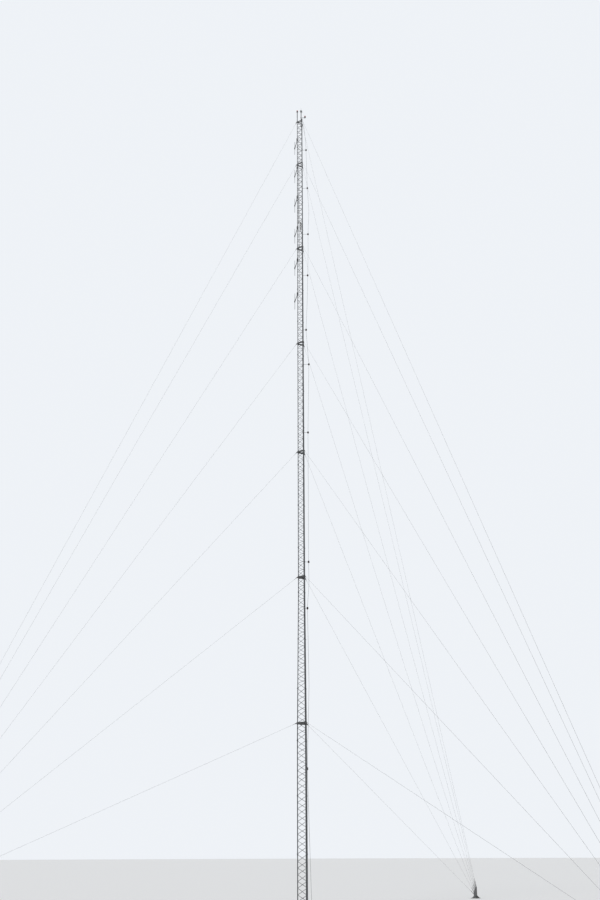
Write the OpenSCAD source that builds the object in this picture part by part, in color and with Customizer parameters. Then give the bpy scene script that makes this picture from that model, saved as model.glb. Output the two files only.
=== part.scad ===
// Guyed lattice radio mast, half real size. The origin is on the underside of
// the base plate, at the middle of the three legs. +Z is up and -Y is the side
// that the photograph was taken from. Leg 0 stands on the left, leg 1 at the
// front right and leg 2 at the rear right.

/* [Lattice] */
// Height of one mast section
section_h = 1500; // [1300:10:1800]
// Distance between leg centres in the upper mast
face_top = 230; // [200:1:260]
// Distance between leg centres in the bottom sections
face_base = 300; // [260:1:360]
// Leg tube diameter in the upper mast
leg_d_top = 26; // [20:0.5:30]
// Leg tube diameter in the lower mast
leg_d_base = 28; // [24:0.5:32]
// Bracing rod diameter in the upper mast
brace_d_top = 11; // [6:0.5:12]
// Bracing rod diameter in the lower mast
brace_d_base = 12; // [7:0.5:13]
// Height from a section's end to its first bracing joint in the upper mast
margin_top = 12; // [11:1:30]
// Height from a section's end to its first bracing joint in the lower mast
margin_base = 14; // [12:1:30]
// Thickness of the bolted plate at each leg end
flange_t = 6; // [4:0.5:10]
// Width of that plate outside the leg
flange_rim = 11; // [8:0.5:14]

/* [Base plate] */
// Thickness of the base plate
base_t = 15; // [10:1:30]
// Distance from a leg centre to the edge of the base plate
base_rim = 60; // [45:1:90]
// Diameter of the holes for the anchor bolts
base_hole_d = 14; // [10:0.5:18]
// Height of the stiffening ribs
rib_h = 55; // [35:1:80]

/* [Guys] */
// Height of the lowest guy collar
collar_z = 5000; // [4800:10:5400]
// Height between guy collars
collar_step = 4500; // [4300:10:4560]
// Distance of the guy anchors from the mast's axis
anchor_r = 12000; // [9000:50:14000]
// Diameter of the guy rope
rope_d = 4; // [3:0.5:6]
// Height of the collar channels
channel_h = 58; // [40:1:70]
// Width of the collar channels
channel_w = 13; // [10:1:24]
// Wall of the collar channels
channel_t = 4; // [3:0.5:6]
// Thickness of the plates that the guys are pinned to
lug_t = 8; // [5:0.5:12]
// Diameter of the guy pins
pin_d = 9; // [6:0.5:12]
// Length of a turnbuckle's body
buckle_l = 170; // [120:5:240]

/* [Guy anchors] */
// Width of an anchor's foot plate
foot_w = 260; // [200:5:360]
// Length of an anchor's foot plate along the guys
foot_l = 340; // [300:5:460]
// Thickness of an anchor's foot plate
foot_t = 14; // [10:1:24]
// Distance between the pins on the fan plate
fan_pitch = 62; // [54:1:80]
// Height of the lowest pin
fan_z = 150; // [120:5:240]

/* [Antennas] */
// Height of the lowest antenna
bay_z = 20800; // [20600:10:21000]
// Height between antennas
bay_step = 1632; // [1500:2:1660]
// Length of an antenna's boom
boom_l = 510; // [400:10:650]
// Boom tube diameter
boom_d = 18; // [14:1:22]
// Direction of the booms
boom_az = 106; // [95:1:110]
// Length of the upright dipole
dipole_l = 750; // [600:10:850]
// Diameter of the dipole tubes
dipole_d = 14; // [10:1:18]

/* [Feeder] */
// Diameter of the coaxial feeder
feeder_d = 22; // [16:1:26]
// Diameter of the branch cables
branch_d = 8; // [6:0.5:9]
// Height of the feeder's top end
divider_z = 23960; // [23900:5:24010]
// Length of the power divider
divider_l = 400; // [360:5:440]
// Diameter of the power divider
divider_d = 36; // [28:1:44]

/* [Down conductor] */
// Diameter of the down conductor
wire_d = 8; // [4:0.5:9]
// Diameter of a stand-off insulator
insulator_d = 50; // [45:1:70]
// Height of a stand-off insulator
insulator_h = 60; // [50:1:80]
// Diameter of the stand-off arms
arm_d = 9; // [7:0.5:12]

/* [Top] */
// Width of the flat bars of the top frame
top_bar = 30; // [24:1:40]
// Height of the left lamp above the lattice
left_lamp_rise = 600; // [400:10:800]
// Height of the lightning rod's tip above the lattice
rod_rise = 870; // [700:10:1000]
// Diameter of the poles of the lightning rod and of the left lamp
pole_d = 24; // [14:1:30]
// Height of the right lamp's arm above the lattice
right_lamp_rise = 255; // [200:5:450]
// Distance of the right lamp from the mast's axis
right_lamp_x = 205; // [170:5:260]

/* [Hidden] */

clearance = 0.3;
section_count = 20;
wide_sections = 3;
taper_sections = 3;
heavy_sections = 4;
panels_top = 11;
panels_base = 9;
leg_az = [180, -60, 60];
mast_top = base_t + section_count * section_h;
taper_z0 = base_t + wide_sections * section_h;
taper_z1 = taper_z0 + taper_sections * section_h;
steel = "#8f969b";
galvanised = "#a9aeb1";
rope_grey = "#7c8084";
black = "#26282a";

// Distance between leg centres at height z
function face(z) = z <= taper_z0 ? face_base
    : z >= taper_z1 ? face_top
    : face_base + (face_top - face_base) * (z - taper_z0) / (taper_z1 - taper_z0);
function leg_r(z) = face(z) / sqrt(3);
function leg_point(leg, z) = [leg_r(z) * cos(leg_az[leg]), leg_r(z) * sin(leg_az[leg]), z];
function section_at(z) = floor((z - base_t) / section_h);
function leg_d(z) = section_at(z) < heavy_sections ? leg_d_base : leg_d_top;
// Lean of a leg towards the axis, in degrees
function leg_lean(z) = z > taper_z0 && z < taper_z1
    ? atan((face_base - face_top) / sqrt(3) / (taper_z1 - taper_z0)) : 0;
function panels(k) = k < heavy_sections ? panels_base : panels_top;
function margin(k) = k < heavy_sections ? margin_base : margin_top;
function panel_h(k) = (section_h - 2 * margin(k)) / panels(k);
function crossing_z(k, j) = base_t + k * section_h + margin(k) + j * panel_h(k);
// How far a clamp may sit from the middle between two bracing joints of a leg
clamp_play = 18;
// The nearest height to z at which a clamp on a leg is clear of the bracing
function clear_z(z) = let (
        k = section_at(z),
        j = floor((z - crossing_z(k, 0)) / panel_h(k)),
        middle = crossing_z(k, min(max(j, 0), panels(k) - 1) + 0.5)
    ) min(max(z, middle - clamp_play), middle + clamp_play);

// Distance from a leg's axis at which a rod ends
brace_end = 5;
hub_d = 66;
hub_wall = 8;
// Height of the hub above the ribs
hub_over = 5;
rib_t = 8;
rib_gap = 6;
rib_toe = 12;
base_bolt_r = leg_r(0) + base_rim - 28;
earth_lug = [207, 60, 0];
earth_lug_d = 20;
earth_lug_h = 10;
collar_count = 6;
lug_r = 12;
lug_reach = 13;
top_t = 8;
top_pad_rim = 1;
top_lug_x = 40;
top_lug_drop = 40;
fan_slope = 35;
fan_rim = 24;
gusset_x = 140;
gusset_h = 90;
gusset_t = 8;
foot_bolt_r = 140;
fork_throat = 38;
fork_block = 12;
cheek_t = 5;
cheek_w = 22;
pin_end = 4;
buckle_gap = 14;
buckle_bar = 8;
buckle_bar_x = 10;
nut_d = 20;
nut_h = 22;
stud_d = 10;
thread_over = 12;
sleeve_d = 9;
sleeve_l = 90;
bay_count = 6;
bays_below = 3;
clamp_wall = 8;
clamp_land = 3;
clamp_h = 46;
clamp_slit = 5;
ear_t = 7;
ear_l = 18;
feed_l = 44;
feed_w = 36;
feed_h = 64;
feed_corner = 7;
cap_t = 6;
cap_rim = 2;
collar_l = 22;
match_d = 6;
match_l = 200;
branch_near = 45;
branch_pitch = 10;
branch_bend = 30;
boom_join = 160;
connector_d = 36;
connector_h = 24;
feeder_z0 = clear_z(base_t + 120);
feeder_turn = 240;
clamp_count = 15;
strap_t = 3;
strap_h = 16;
port_first = 50;
port_step = 60;
port_d = 11;
port_l = 14;
// Height of each bracket of the power divider and the legs that it is clamped to
divider_brackets = [[clear_z(divider_z + 120), [1, 2]],
    [clear_z(divider_z + divider_l - 60), [0, 1, 2]]];
// Each stand-off's height, distance to the right of the axis, distance behind
// leg 2, and how far the conductor bows to the right below it
standoffs = [[28505, 232, 0, 0], [26320, 271, 0, 50], [23830, 281, 0, 10], [21700, 253, 0, 10],
    [19230, 174, 0, 0], [17645, 263, 0, 0], [14865, 212, 0, 0], [10080, 195, 0, 30],
    [8490, 147, 0, 50], [3756, 104, 50, 0]];
waist_d = 34;
waist_h = 14;
wire_kink = [155, 112, 1980];
rod_x = 35;
pole_foot_d = 48;
spike_l = 225;
spike_d = 6;
side_spike = 60;
branch_spike = [75, 15];
branch_spike_drop = 100;
rod_hub_d = 34;
rod_hub_h = 24;
lamp_d = 60;
lamp_base_h = 30;
lamp_rim_h = 6;
lamp_step = 5;
lamp_h = 55;
wire_top = [[rod_x + 50, 20, 80], [130, 80, 20]];
wire_bend = 20;
wire_tail = 150;
wire_lead = 700;

module rod(a, b, d, sides) {
    v = b - a;
    translate(a)
    rotate([0, acos(v[2] / norm(v)), atan2(v[1], v[0])])
    cylinder(d = d, h = norm(v), $fn = sides);
}

// Sets its children upright on a leg, with +X pointing away from the axis
module on_leg(leg, z) {
    translate(leg_point(leg, z))
    rotate([0, 0, leg_az[leg]])
    rotate([0, -leg_lean(z), 0])
    children();
}

// Outline round the legs at height z, its sides d outside the leg centres and
// its three corners cut off at the same distance
module leg_outline(z, d) {
    intersection() {
        rotate(180) circle(r = leg_r(z) + 2 * d, $fn = 3);
        circle(r = 2 * (leg_r(z) + d), $fn = 3);
    }
}

module mast_section(k) {
    z0 = base_t + k * section_h;
    z1 = z0 + section_h;
    middle = z0 + section_h / 2;
    brace_d = k < heavy_sections ? brace_d_base : brace_d_top;
    color(galvanised)
    union() {
        for (leg = [0:2]) {
            next = (leg + 1) % 3;
            rod(leg_point(leg, z0 + flange_t / 2), leg_point(leg, z1 - flange_t / 2),
                leg_d(middle), 12);
            for (z = [z0, z1 - flange_t])
                translate([leg_point(leg, z)[0], leg_point(leg, z)[1], z])
                cylinder(d = leg_d(middle) + 2 * flange_rim, h = flange_t, $fn = 24);
            for (j = [0:panels(k) - 1])
                brace(leg_point(j % 2 == 0 ? leg : next, crossing_z(k, j)),
                    leg_point(j % 2 == 0 ? next : leg, crossing_z(k, j + 1)), brace_d);
        }
    }
}

// Rod between two legs that ends inside their tubes
module brace(a, b, d) {
    u = (b - a) / norm(b - a);
    rod(a + u * brace_end, b - u * brace_end, d, 6);
}

module base_plate() {
    rib_inner = (hub_d - hub_wall) / 2;
    rib_outer = leg_r(0) - leg_d_base / 2 - flange_rim - rib_gap;
    color(steel)
    difference() {
        union() {
            cylinder(r = leg_r(0) + base_rim, h = base_t, $fn = 96);
            cylinder(d = hub_d, h = base_t + rib_h + hub_over, $fn = 48);
            for (leg = [0:2])
                rotate([0, 0, leg_az[leg]])
                translate([0, rib_t / 2, base_t / 2])
                rotate([90, 0, 0])
                linear_extrude(rib_t)
                polygon([[rib_inner, 0], [rib_outer, 0], [rib_outer, base_t / 2 + rib_toe],
                    [hub_d / 2 + rib_gap, base_t / 2 + rib_h], [rib_inner, base_t / 2 + rib_h]]);
            translate([earth_lug[0], earth_lug[1], 0])
            cylinder(d = earth_lug_d, h = base_t + earth_lug_h, $fn = 32);
        }
        for (a = [0:60:300])
            rotate([0, 0, a + 30])
            translate([base_bolt_r, 0, -1])
            cylinder(d = base_hole_d, h = base_t + 2, $fn = 48);
        translate([0, 0, base_t])
        cylinder(d = hub_d - 2 * hub_wall, h = rib_h + hub_over + 1, $fn = 48);
    }
}

// Plate in the radial plane with a pin hole at its origin, welded at x = -reach
module lug(reach, height) {
    rotate([90, 0, 0])
    linear_extrude(lug_t, center = true)
    difference() {
        union() {
            polygon([[-reach, -height / 2], [-reach, height / 2], [0, lug_r], [0, -lug_r]]);
            circle(r = lug_r, $fn = 48);
        }
        circle(d = pin_d + 2 * clearance, $fn = 48);
    }
}

// Distance from a leg's centre to the inside of a guy collar
function collar_gap(z) = leg_d(z) / 2 + clearance + channel_h / 2 * tan(leg_lean(z));

module guy_collar(z) {
    g = collar_gap(z);
    translate([0, 0, z - channel_h / 2]) {
        linear_extrude(channel_h)
        difference() {
            leg_outline(z, g + channel_t);
            leg_outline(z, g);
        }
        for (edge = [0, channel_h - channel_t])
            translate([0, 0, edge])
            linear_extrude(channel_t)
            difference() {
                leg_outline(z, g + channel_w);
                leg_outline(z, g);
            }
    }
    for (leg = [0:2])
        rotate([0, 0, leg_az[leg]])
        translate([leg_r(z) + g + channel_w + lug_reach, 0, z])
        lug(lug_reach + channel_w - channel_t / 2, channel_h - channel_t);
}

module guy_collars() {
    color(steel)
    for (i = [0:collar_count - 1])
        guy_collar(collar_z + i * collar_step);
}

// Flat bars from leg to leg, a middle bar for the lightning rod and a lug at each leg
module top_frame() {
    r = leg_r(mast_top);
    color(steel)
    union() {
        translate([0, 0, mast_top])
        linear_extrude(top_t) {
            difference() {
                leg_outline(mast_top, top_bar / 2);
                leg_outline(mast_top, -top_bar / 2);
            }
            translate([-r, -top_bar / 2]) square([1.5 * r, top_bar]);
            translate([rod_x, 0]) circle(d = pole_foot_d + 2 * top_pad_rim, $fn = 48);
            for (leg = [0:2])
                rotate(leg_az[leg])
                translate([r, 0]) {
                    circle(d = leg_d_top + 2 * (flange_rim + top_pad_rim), $fn = 48);
                    translate([0, -top_bar / 2]) square([top_lug_x + lug_r, top_bar]);
                }
        }
        for (leg = [0:2])
            rotate([0, 0, leg_az[leg]])
            translate([r + top_lug_x, 0, mast_top - top_lug_drop])
            rotate([90, 0, 0])
            linear_extrude(lug_t, center = true)
            difference() {
                union() {
                    translate([-lug_r, 0]) square([2 * lug_r, top_lug_drop + top_t / 2]);
                    circle(r = lug_r, $fn = 48);
                }
                circle(d = pin_d + 2 * clearance, $fn = 48);
            }
    }
}

// Upper and lower pins of guy i, as distance from the axis and height
function guy_head(i) = i < collar_count
    ? let (z = collar_z + i * collar_step)
        [leg_r(z) + collar_gap(z) + channel_w + lug_reach, 0, z]
    : [leg_r(mast_top) + top_lug_x, 0, mast_top - top_lug_drop];
function guy_foot(i) = [anchor_r + (i - collar_count / 2) * fan_pitch * cos(fan_slope), 0,
    fan_z + i * fan_pitch * sin(fan_slope)];

// Puts its children at a with +Z towards b, both in the radial plane
module towards(a, b) {
    translate(a)
    rotate([0, atan2(b[0] - a[0], b[2] - a[2]), 0])
    children();
}

// Two cheeks round a lug, the pin through them and the block that joins them
module fork() {
    cheek_y = lug_t / 2 + clearance;
    for (side = [-1, 1])
        translate([0, side * (cheek_y + cheek_t / 2), 0])
        rotate([90, 0, 0])
        linear_extrude(cheek_t, center = true)
        union() {
            circle(d = cheek_w, $fn = 32);
            translate([-cheek_w / 2, 0]) square([cheek_w, fork_throat + fork_block]);
        }
    translate([-cheek_w / 2, -cheek_y - cheek_t, fork_throat])
    cube([cheek_w, 2 * (cheek_y + cheek_t), fork_block]);
    rotate([90, 0, 0])
    cylinder(d = pin_d, h = 2 * (cheek_y + cheek_t + pin_end), center = true, $fn = 32);
}

module guy(i) {
    a = guy_head(i);
    b = guy_foot(i);
    fork_l = fork_throat + fork_block;
    buckle_top = fork_l + buckle_gap + buckle_l;
    towards(a, b) {
        fork();
        translate([0, 0, fork_l - 1]) cylinder(d = sleeve_d, h = sleeve_l, $fn = 24);
        cylinder_from(fork_l, norm(b - a) - buckle_top - buckle_gap, rope_d);
    }
    towards(b, a) {
        cylinder_from(buckle_top + buckle_gap, buckle_top + buckle_gap + sleeve_l, sleeve_d);
        cylinder_from(buckle_top - nut_h - thread_over, buckle_top + buckle_gap + 1, stud_d);
    }
}

module cylinder_from(z0, z1, d) {
    translate([0, 0, z0]) cylinder(d = d, h = z1 - z0, $fn = 24);
}

module guys(leg) {
    color(rope_grey)
    rotate([0, 0, leg_az[leg]])
    for (i = [0:collar_count])
        guy(i);
}

module turnbuckle() {
    fork_l = fork_throat + fork_block;
    z0 = fork_l + buckle_gap;
    fork();
    cylinder_from(fork_l - 1, z0 + nut_h + thread_over, stud_d);
    difference() {
        union() {
            cylinder_from(z0, z0 + nut_h, nut_d);
            cylinder_from(z0 + buckle_l - nut_h, z0 + buckle_l, nut_d);
            for (side = [-1, 1])
                translate([side * buckle_bar_x, 0, 0])
                cylinder_from(z0 + nut_h / 4, z0 + buckle_l - nut_h / 4, buckle_bar);
        }
        cylinder_from(z0 + buckle_l - nut_h - 1, z0 + buckle_l + 1, stud_d + 2 * clearance);
    }
}

module turnbuckles(leg) {
    color(steel)
    rotate([0, 0, leg_az[leg]])
    for (i = [0:collar_count])
        towards(guy_foot(i), guy_head(i))
        turnbuckle();
}

module guy_anchor(leg) {
    along = [cos(fan_slope), sin(fan_slope)];
    across = [-sin(fan_slope), cos(fan_slope)];
    low = [guy_foot(0)[0], guy_foot(0)[2]];
    high = [guy_foot(collar_count)[0], guy_foot(collar_count)[2]];
    color(steel)
    rotate([0, 0, leg_az[leg]])
    difference() {
        union() {
            translate([anchor_r - foot_l / 2, -foot_w / 2, 0]) cube([foot_l, foot_w, foot_t]);
            rotate([90, 0, 0])
            linear_extrude(lug_t, center = true)
            polygon([low + fan_rim * (across - along), high + fan_rim * (across + along),
                high + fan_rim * (along - across), [anchor_r + foot_l / 2 - fan_rim, foot_t / 2],
                [anchor_r - foot_l / 2 + fan_rim, foot_t / 2], low - fan_rim * (across + along)]);
            for (x = [-gusset_x, 0, gusset_x])
                translate([anchor_r + x - gusset_t / 2, 0, foot_t / 2])
                rotate([90, 0, 90])
                linear_extrude(gusset_t)
                polygon([[-foot_w / 2 + fan_rim, 0], [foot_w / 2 - fan_rim, 0],
                    [lug_t / 2, gusset_h], [-lug_t / 2, gusset_h]]);
        }
        for (i = [0:collar_count])
            translate(guy_foot(i))
            rotate([90, 0, 0])
            cylinder(d = pin_d + 2 * clearance, h = 2 * lug_t, center = true, $fn = 48);
        for (a = [45:90:315])
            translate([anchor_r + foot_bolt_r * cos(a), foot_bolt_r * sin(a), -1])
            cylinder(d = base_hole_d, h = foot_t + 2, $fn = 48);
    }
}

function bay_height(i) = clear_z(bay_z + i * bay_step);

// Box whose four upright edges are rounded
module rounded_box(l, w, h, r) {
    translate([0, 0, -h / 2])
    linear_extrude(h) {
        square([l - 2 * r, w], center = true);
        square([l, w - 2 * r], center = true);
        for (x = [-1, 1], y = [-1, 1])
            translate([x * (l / 2 - r), y * (w / 2 - r)]) circle(r = r, $fn = 24);
    }
}

// Clamp round a leg, closed by bolts through its two ears, with the boom along +X
module boom_clamp() {
    outer = leg_d_top / 2 + clamp_wall;
    translate([0, 0, -clamp_h / 2])
    linear_extrude(clamp_h)
    difference() {
        union() {
            circle(r = outer, $fn = 48);
            translate([0, -boom_d / 2 - clamp_land])
            square([outer + clamp_wall, boom_d + 2 * clamp_land]);
            translate([-outer - ear_l, -clamp_slit / 2 - ear_t])
            square([outer + ear_l, clamp_slit + 2 * ear_t]);
        }
        circle(d = leg_d_top + 2 * clearance, $fn = 48);
        translate([-outer - ear_l - 1, -clamp_slit / 2]) square([outer + ear_l + 1, clamp_slit]);
    }
}

module dipole_antenna(i) {
    match_x = boom_l + feed_l / 2 - match_d;
    outer = leg_d_top / 2 + clamp_wall;
    color(galvanised)
    translate(leg_point(0, bay_height(i)))
    rotate([0, 0, boom_az]) {
        boom_clamp();
        translate([outer, 0, 0]) rotate([0, 90, 0])
        cylinder(d = boom_d, h = boom_l - outer, $fn = 32);
        translate([boom_l, 0, 0]) {
            rounded_box(feed_l, feed_w, feed_h, feed_corner);
            cylinder(d = dipole_d, h = dipole_l, center = true, $fn = 32);
            for (end = [-1, 1]) {
                translate([0, 0, end * (dipole_l - cap_t) / 2])
                cylinder(d = dipole_d + 2 * cap_rim, h = cap_t, center = true, $fn = 32);
                translate([0, 0, end * (feed_h / 2 + collar_l / 2 - 1)])
                cylinder(d = dipole_d + 4 * cap_rim, h = collar_l, center = true, $fn = 32);
            }
        }
        translate([match_x, 0, 0]) cylinder(d = match_d, h = match_l, $fn = 16);
        translate([boom_l, -match_d / 2, match_l - match_d])
        cube([match_x - boom_l, match_d, match_d]);
    }
}

// Points along a path whose corners are rounded off over the length bend
function rounded(p, bend) = concat([p[0]],
    [for (i = [1:len(p) - 2])
        let (
            back = p[i - 1] - p[i],
            ahead = p[i + 1] - p[i],
            cut = min(bend, norm(back) / 2.1, norm(ahead) / 2.1),
            a = p[i] + back / norm(back) * cut,
            b = p[i] + ahead / norm(ahead) * cut
        )
        for (t = [0:0.25:1]) (1 - t) * (1 - t) * a + 2 * t * (1 - t) * p[i] + t * t * b],
    [p[len(p) - 1]]);

function unit(v) = v / norm(v);
function tangent(p, i) = unit(i == 0 ? p[1] - p[0]
    : i == len(p) - 1 ? p[i] - p[i - 1]
    : unit(p[i + 1] - p[i]) + unit(p[i] - p[i - 1]));
function square_to(n, t) = unit(n - (n * t) * t);

// Round tube of diameter d along the points p; start is any direction across its first stretch
module tube(p, d, sides, start) {
    count = len(p);
    normals = [for (i = 0, n = square_to(start, tangent(p, 0)); i < count;
        i = i + 1, n = i < count ? square_to(n, tangent(p, i)) : n) n];
    rings = [for (i = [0:count - 1])
        let (t = tangent(p, i), u = normals[i], v = cross(t, u))
        for (j = [0:sides - 1])
            p[i] + d / 2 * (cos(360 * j / sides) * u + sin(360 * j / sides) * v)];
    sheath = [for (i = [0:count - 2], j = [0:sides - 1])
        let (k = (j + 1) % sides)
        [i * sides + j, (i + 1) * sides + j, (i + 1) * sides + k, i * sides + k]];
    ends = [[for (j = [0:sides - 1]) j],
        [for (j = [sides - 1:-1:0]) (count - 1) * sides + j]];
    polyhedron(points = rings, faces = concat(sheath, ends), convexity = 8);
}

// Distance of the feeder from the front right leg, clear of its flanges and of the bracing
feeder_in = max(feeder_d + brace_d_base, (leg_d_base + feeder_d) / 2 + flange_rim)
    + 4 * clearance;
// Place of the feeder at height z, inside the lattice
function feeder_point(z) = [(leg_r(z) - feeder_in) * cos(leg_az[1]),
    (leg_r(z) - feeder_in) * sin(leg_az[1]), z];

module feeder_cable() {
    color(black)
    union() {
        tube(rounded([feeder_point(feeder_z0), feeder_point(taper_z0), feeder_point(taper_z1),
            feeder_point(divider_z - feeder_turn), [0, 0, divider_z - feeder_turn / 3],
            [0, 0, divider_z - connector_h / 2]], feeder_turn / 3), feeder_d, 16, [1, 0, 0]);
        translate(feeder_point(feeder_z0) - [0, 0, connector_h - 1])
        cylinder(d = connector_d, h = connector_h, $fn = 32);
        translate([0, 0, divider_z - connector_h])
        cylinder(d = connector_d, h = connector_h, $fn = 32);
    }
}

module ring(d, wall, h) {
    difference() {
        cylinder(d = d + 2 * clearance + 2 * wall, h = h, center = true, $fn = 48);
        cylinder(d = d + 2 * clearance, h = h + 2, center = true, $fn = 48);
    }
}

module feeder_clamps() {
    color(steel)
    for (k = [0:clamp_count - 1]) {
        z = clear_z(base_t + (k + 0.5) * section_h);
        on_leg(1, z)
        difference() {
            union() {
                cylinder(d = leg_d(z) + 2 * clearance + 2 * strap_t, h = strap_h, center = true,
                    $fn = 48);
                translate([-feeder_in, 0, 0])
                cylinder(d = feeder_d + 2 * clearance + 2 * strap_t, h = strap_h, center = true,
                    $fn = 48);
                translate([-feeder_in, -strap_h / 2, -strap_h / 2])
                cube([feeder_in, strap_h, strap_h]);
            }
            cylinder(d = leg_d(z) + 2 * clearance, h = strap_h + 2, center = true, $fn = 48);
            translate([-feeder_in, 0, 0])
            cylinder(d = feeder_d + 2 * clearance, h = strap_h + 2, center = true, $fn = 48);
        }
    }
}

function port_z(i) = divider_z + port_first + i * port_step;
port_reach = divider_d / 2 + port_l;

module power_divider() {
    color(steel)
    difference() {
        union() {
            translate([0, 0, divider_z]) cylinder(d = divider_d, h = divider_l, $fn = 48);
            for (z = [divider_z, divider_z + divider_l - cap_t])
                translate([0, 0, z]) cylinder(d = divider_d + 2 * cap_rim, h = cap_t, $fn = 48);
            for (i = [0:bay_count - 1])
                translate([0, 0, port_z(i)])
                rotate([0, 90, 120])
                cylinder(d = port_d, h = port_reach, $fn = 24);
            for (bracket = divider_brackets, leg = bracket[1])
                translate([0, 0, bracket[0]])
                rotate([0, 0, leg_az[leg]]) {
                    translate([0, -strap_t, -strap_h / 2])
                    cube([leg_r(bracket[0]), 2 * strap_t, strap_h]);
                    translate([leg_r(bracket[0]), 0, 0])
                    cylinder(d = leg_d_top + 2 * clearance + 2 * strap_t, h = strap_h,
                        center = true, $fn = 48);
                }
        }
        for (bracket = divider_brackets, leg = bracket[1])
            translate(leg_point(leg, bracket[0]))
            cylinder(d = leg_d_top + 2 * clearance, h = 2 * strap_h, center = true, $fn = 48);
    }
}

// Point s along the rear left face from the left leg and n outside that face
face_az = 30;
function face_point(s, n, z) = leg_point(0, z)
    + s * [cos(face_az), sin(face_az), 0] + n * [-sin(face_az), cos(face_az), 0];
// Distance of branch cable i from the left leg
function branch_s(i) = i < bays_below ? branch_near + (bays_below - 1 - i) * branch_pitch
    : branch_near + (i - bays_below) * branch_pitch;
// The nearest height to z where a cable passes between the bracing rods
function pass_z(z) = let (
        k = section_at(z),
        j = round((z - crossing_z(k, 0)) / panel_h(k) / 2) * 2
    ) crossing_z(k, min(max(j, 0), panels(k) - 1));

module branch_cable(i) {
    z = bay_height(i);
    out = pass_z(z);
    s = branch_s(i);
    inner = -brace_d_top / 2 - branch_d / 2 - clearance;
    way = out > port_z(i) ? 1 : -1;
    middle = face(divider_z) / 2;
    port_n = port_reach - leg_r(divider_z) / 2;
    side = boom_d / 2 + branch_d / 2 + clearance;
    boom_out = [cos(boom_az), sin(boom_az), 0];
    boom_side = [sin(boom_az), -cos(boom_az), 0];
    path = [face_point(middle, port_n + 2 * clearance, port_z(i)),
        face_point(middle - clearance, port_n / 2 + inner / 2, port_z(i)),
        face_point(s + branch_bend / 4, inner, port_z(i) + way * branch_bend / 2),
        face_point(s, inner, port_z(i) + way * branch_bend * 1.5),
        face_point(s, inner, out),
        face_point(s, branch_bend * 1.5, out),
        leg_point(0, z) + boom_join * boom_out + side * boom_side,
        leg_point(0, z) + (boom_l - feed_l / 2) * boom_out + side * boom_side];
    tube(rounded(path, branch_bend), branch_d, 8, [0, 0, 1]);
}

module branch_cables() {
    color(black)
    for (i = [0:bay_count - 1])
        branch_cable(i);
}

function standoff_z(i) = clear_z(standoffs[i][0]);
function insulator_point(i) = [standoffs[i][1],
    leg_point(2, standoff_z(i))[1] + standoffs[i][2], standoff_z(i)];

module standoff_arms() {
    color(steel)
    for (i = [0:len(standoffs) - 1]) {
        z = standoff_z(i);
        d = leg_d(z);
        along = unit(insulator_point(i) - leg_point(2, z));
        on_leg(2, z) ring(d, strap_t, strap_h);
        rod(leg_point(2, z) + (d / 2 + clearance + strap_t / 2) * along,
            insulator_point(i) - (waist_d / 2 + clearance + strap_t / 2) * along, arm_d, 12);
        translate(insulator_point(i)) ring(waist_d, strap_t, waist_h);
    }
}

module standoff_insulator() {
    bore = wire_d / 2 + clearance;
    r = insulator_d / 2;
    h = insulator_h / 2;
    rotate_extrude($fn = 48)
    polygon([[bore, -h], [waist_d / 2 - 2, -h], [r * 0.8, -h * 0.8], [r, -h * 0.6], [r, -h * 0.4],
        [waist_d / 2, -waist_h / 2 - clearance], [waist_d / 2, waist_h / 2 + clearance],
        [r, h * 0.4], [r, h * 0.6], [r * 0.8, h * 0.8], [waist_d / 2 - 2, h], [bore, h]]);
}

module standoff_insulators() {
    color("#5b3a2c")
    for (i = [0:len(standoffs) - 1])
        translate(insulator_point(i))
        standoff_insulator();
}

module down_conductor() {
    straight = [0, 0, insulator_h / 2 + 0.6 * wire_bend];
    last = len(standoffs) - 1;
    path = concat(
        [[rod_x + pole_d / 2 + clearance + wire_d / 4, 0, mast_top + wire_top[0][2] + wire_bend / 2]],
        [for (p = wire_top) p + [0, 0, mast_top]],
        [insulator_point(0) + [-1.5 * wire_bend, 0, wire_lead]],
        [for (i = [0:last - 1]) each
            [insulator_point(i) + straight, insulator_point(i) - straight,
                (insulator_point(i) + insulator_point(i + 1)) / 2 + [standoffs[i][3], 0, 0]]],
        [insulator_point(last) + straight, insulator_point(last) - straight],
        [wire_kink, [earth_lug[0], earth_lug[1], base_t + earth_lug_h + wire_tail],
            [earth_lug[0], earth_lug[1], base_t + earth_lug_h]]);
    color(steel)
    tube(rounded(path, wire_bend), wire_d, 8, [0, 1, 0]);
}

module lightning_rod() {
    head_z = mast_top + rod_rise - spike_l;
    color(steel)
    translate([rod_x, 0, 0])
    union() {
        translate([0, 0, mast_top + top_t]) cylinder(d = pole_foot_d, h = flange_t, $fn = 32);
        translate([0, 0, mast_top + top_t])
        cylinder(d = pole_d, h = head_z - mast_top - top_t, $fn = 32);
        translate([0, 0, head_z - rod_hub_h / 2]) cylinder(d = rod_hub_d, h = rod_hub_h, $fn = 32);
        rod([0, 0, head_z], [0, 0, mast_top + rod_rise], spike_d, 8);
        for (a = [0:60:300])
            rod([0, 0, head_z], [side_spike * cos(a), side_spike * sin(a), head_z + side_spike / 2],
                spike_d, 8);
        rod([0, 0, head_z - branch_spike_drop],
            [branch_spike[0], 0, head_z - branch_spike_drop + branch_spike[1]], spike_d, 8);
    }
}

module lamp_body() {
    cylinder(d = lamp_d - 2 * lamp_step, h = lamp_base_h, $fn = 48);
    translate([0, 0, lamp_base_h - lamp_rim_h]) cylinder(d = lamp_d, h = lamp_rim_h, $fn = 48);
}

module lamp_glass() {
    r = lamp_d / 2 - lamp_step;
    cylinder(r = r, h = lamp_h - r, $fn = 48);
    translate([0, 0, lamp_h - r])
    intersection() {
        sphere(r = r, $fn = 48);
        translate([0, 0, -1]) cylinder(r = 2 * r, h = 2 * r, $fn = 48);
    }
}

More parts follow.
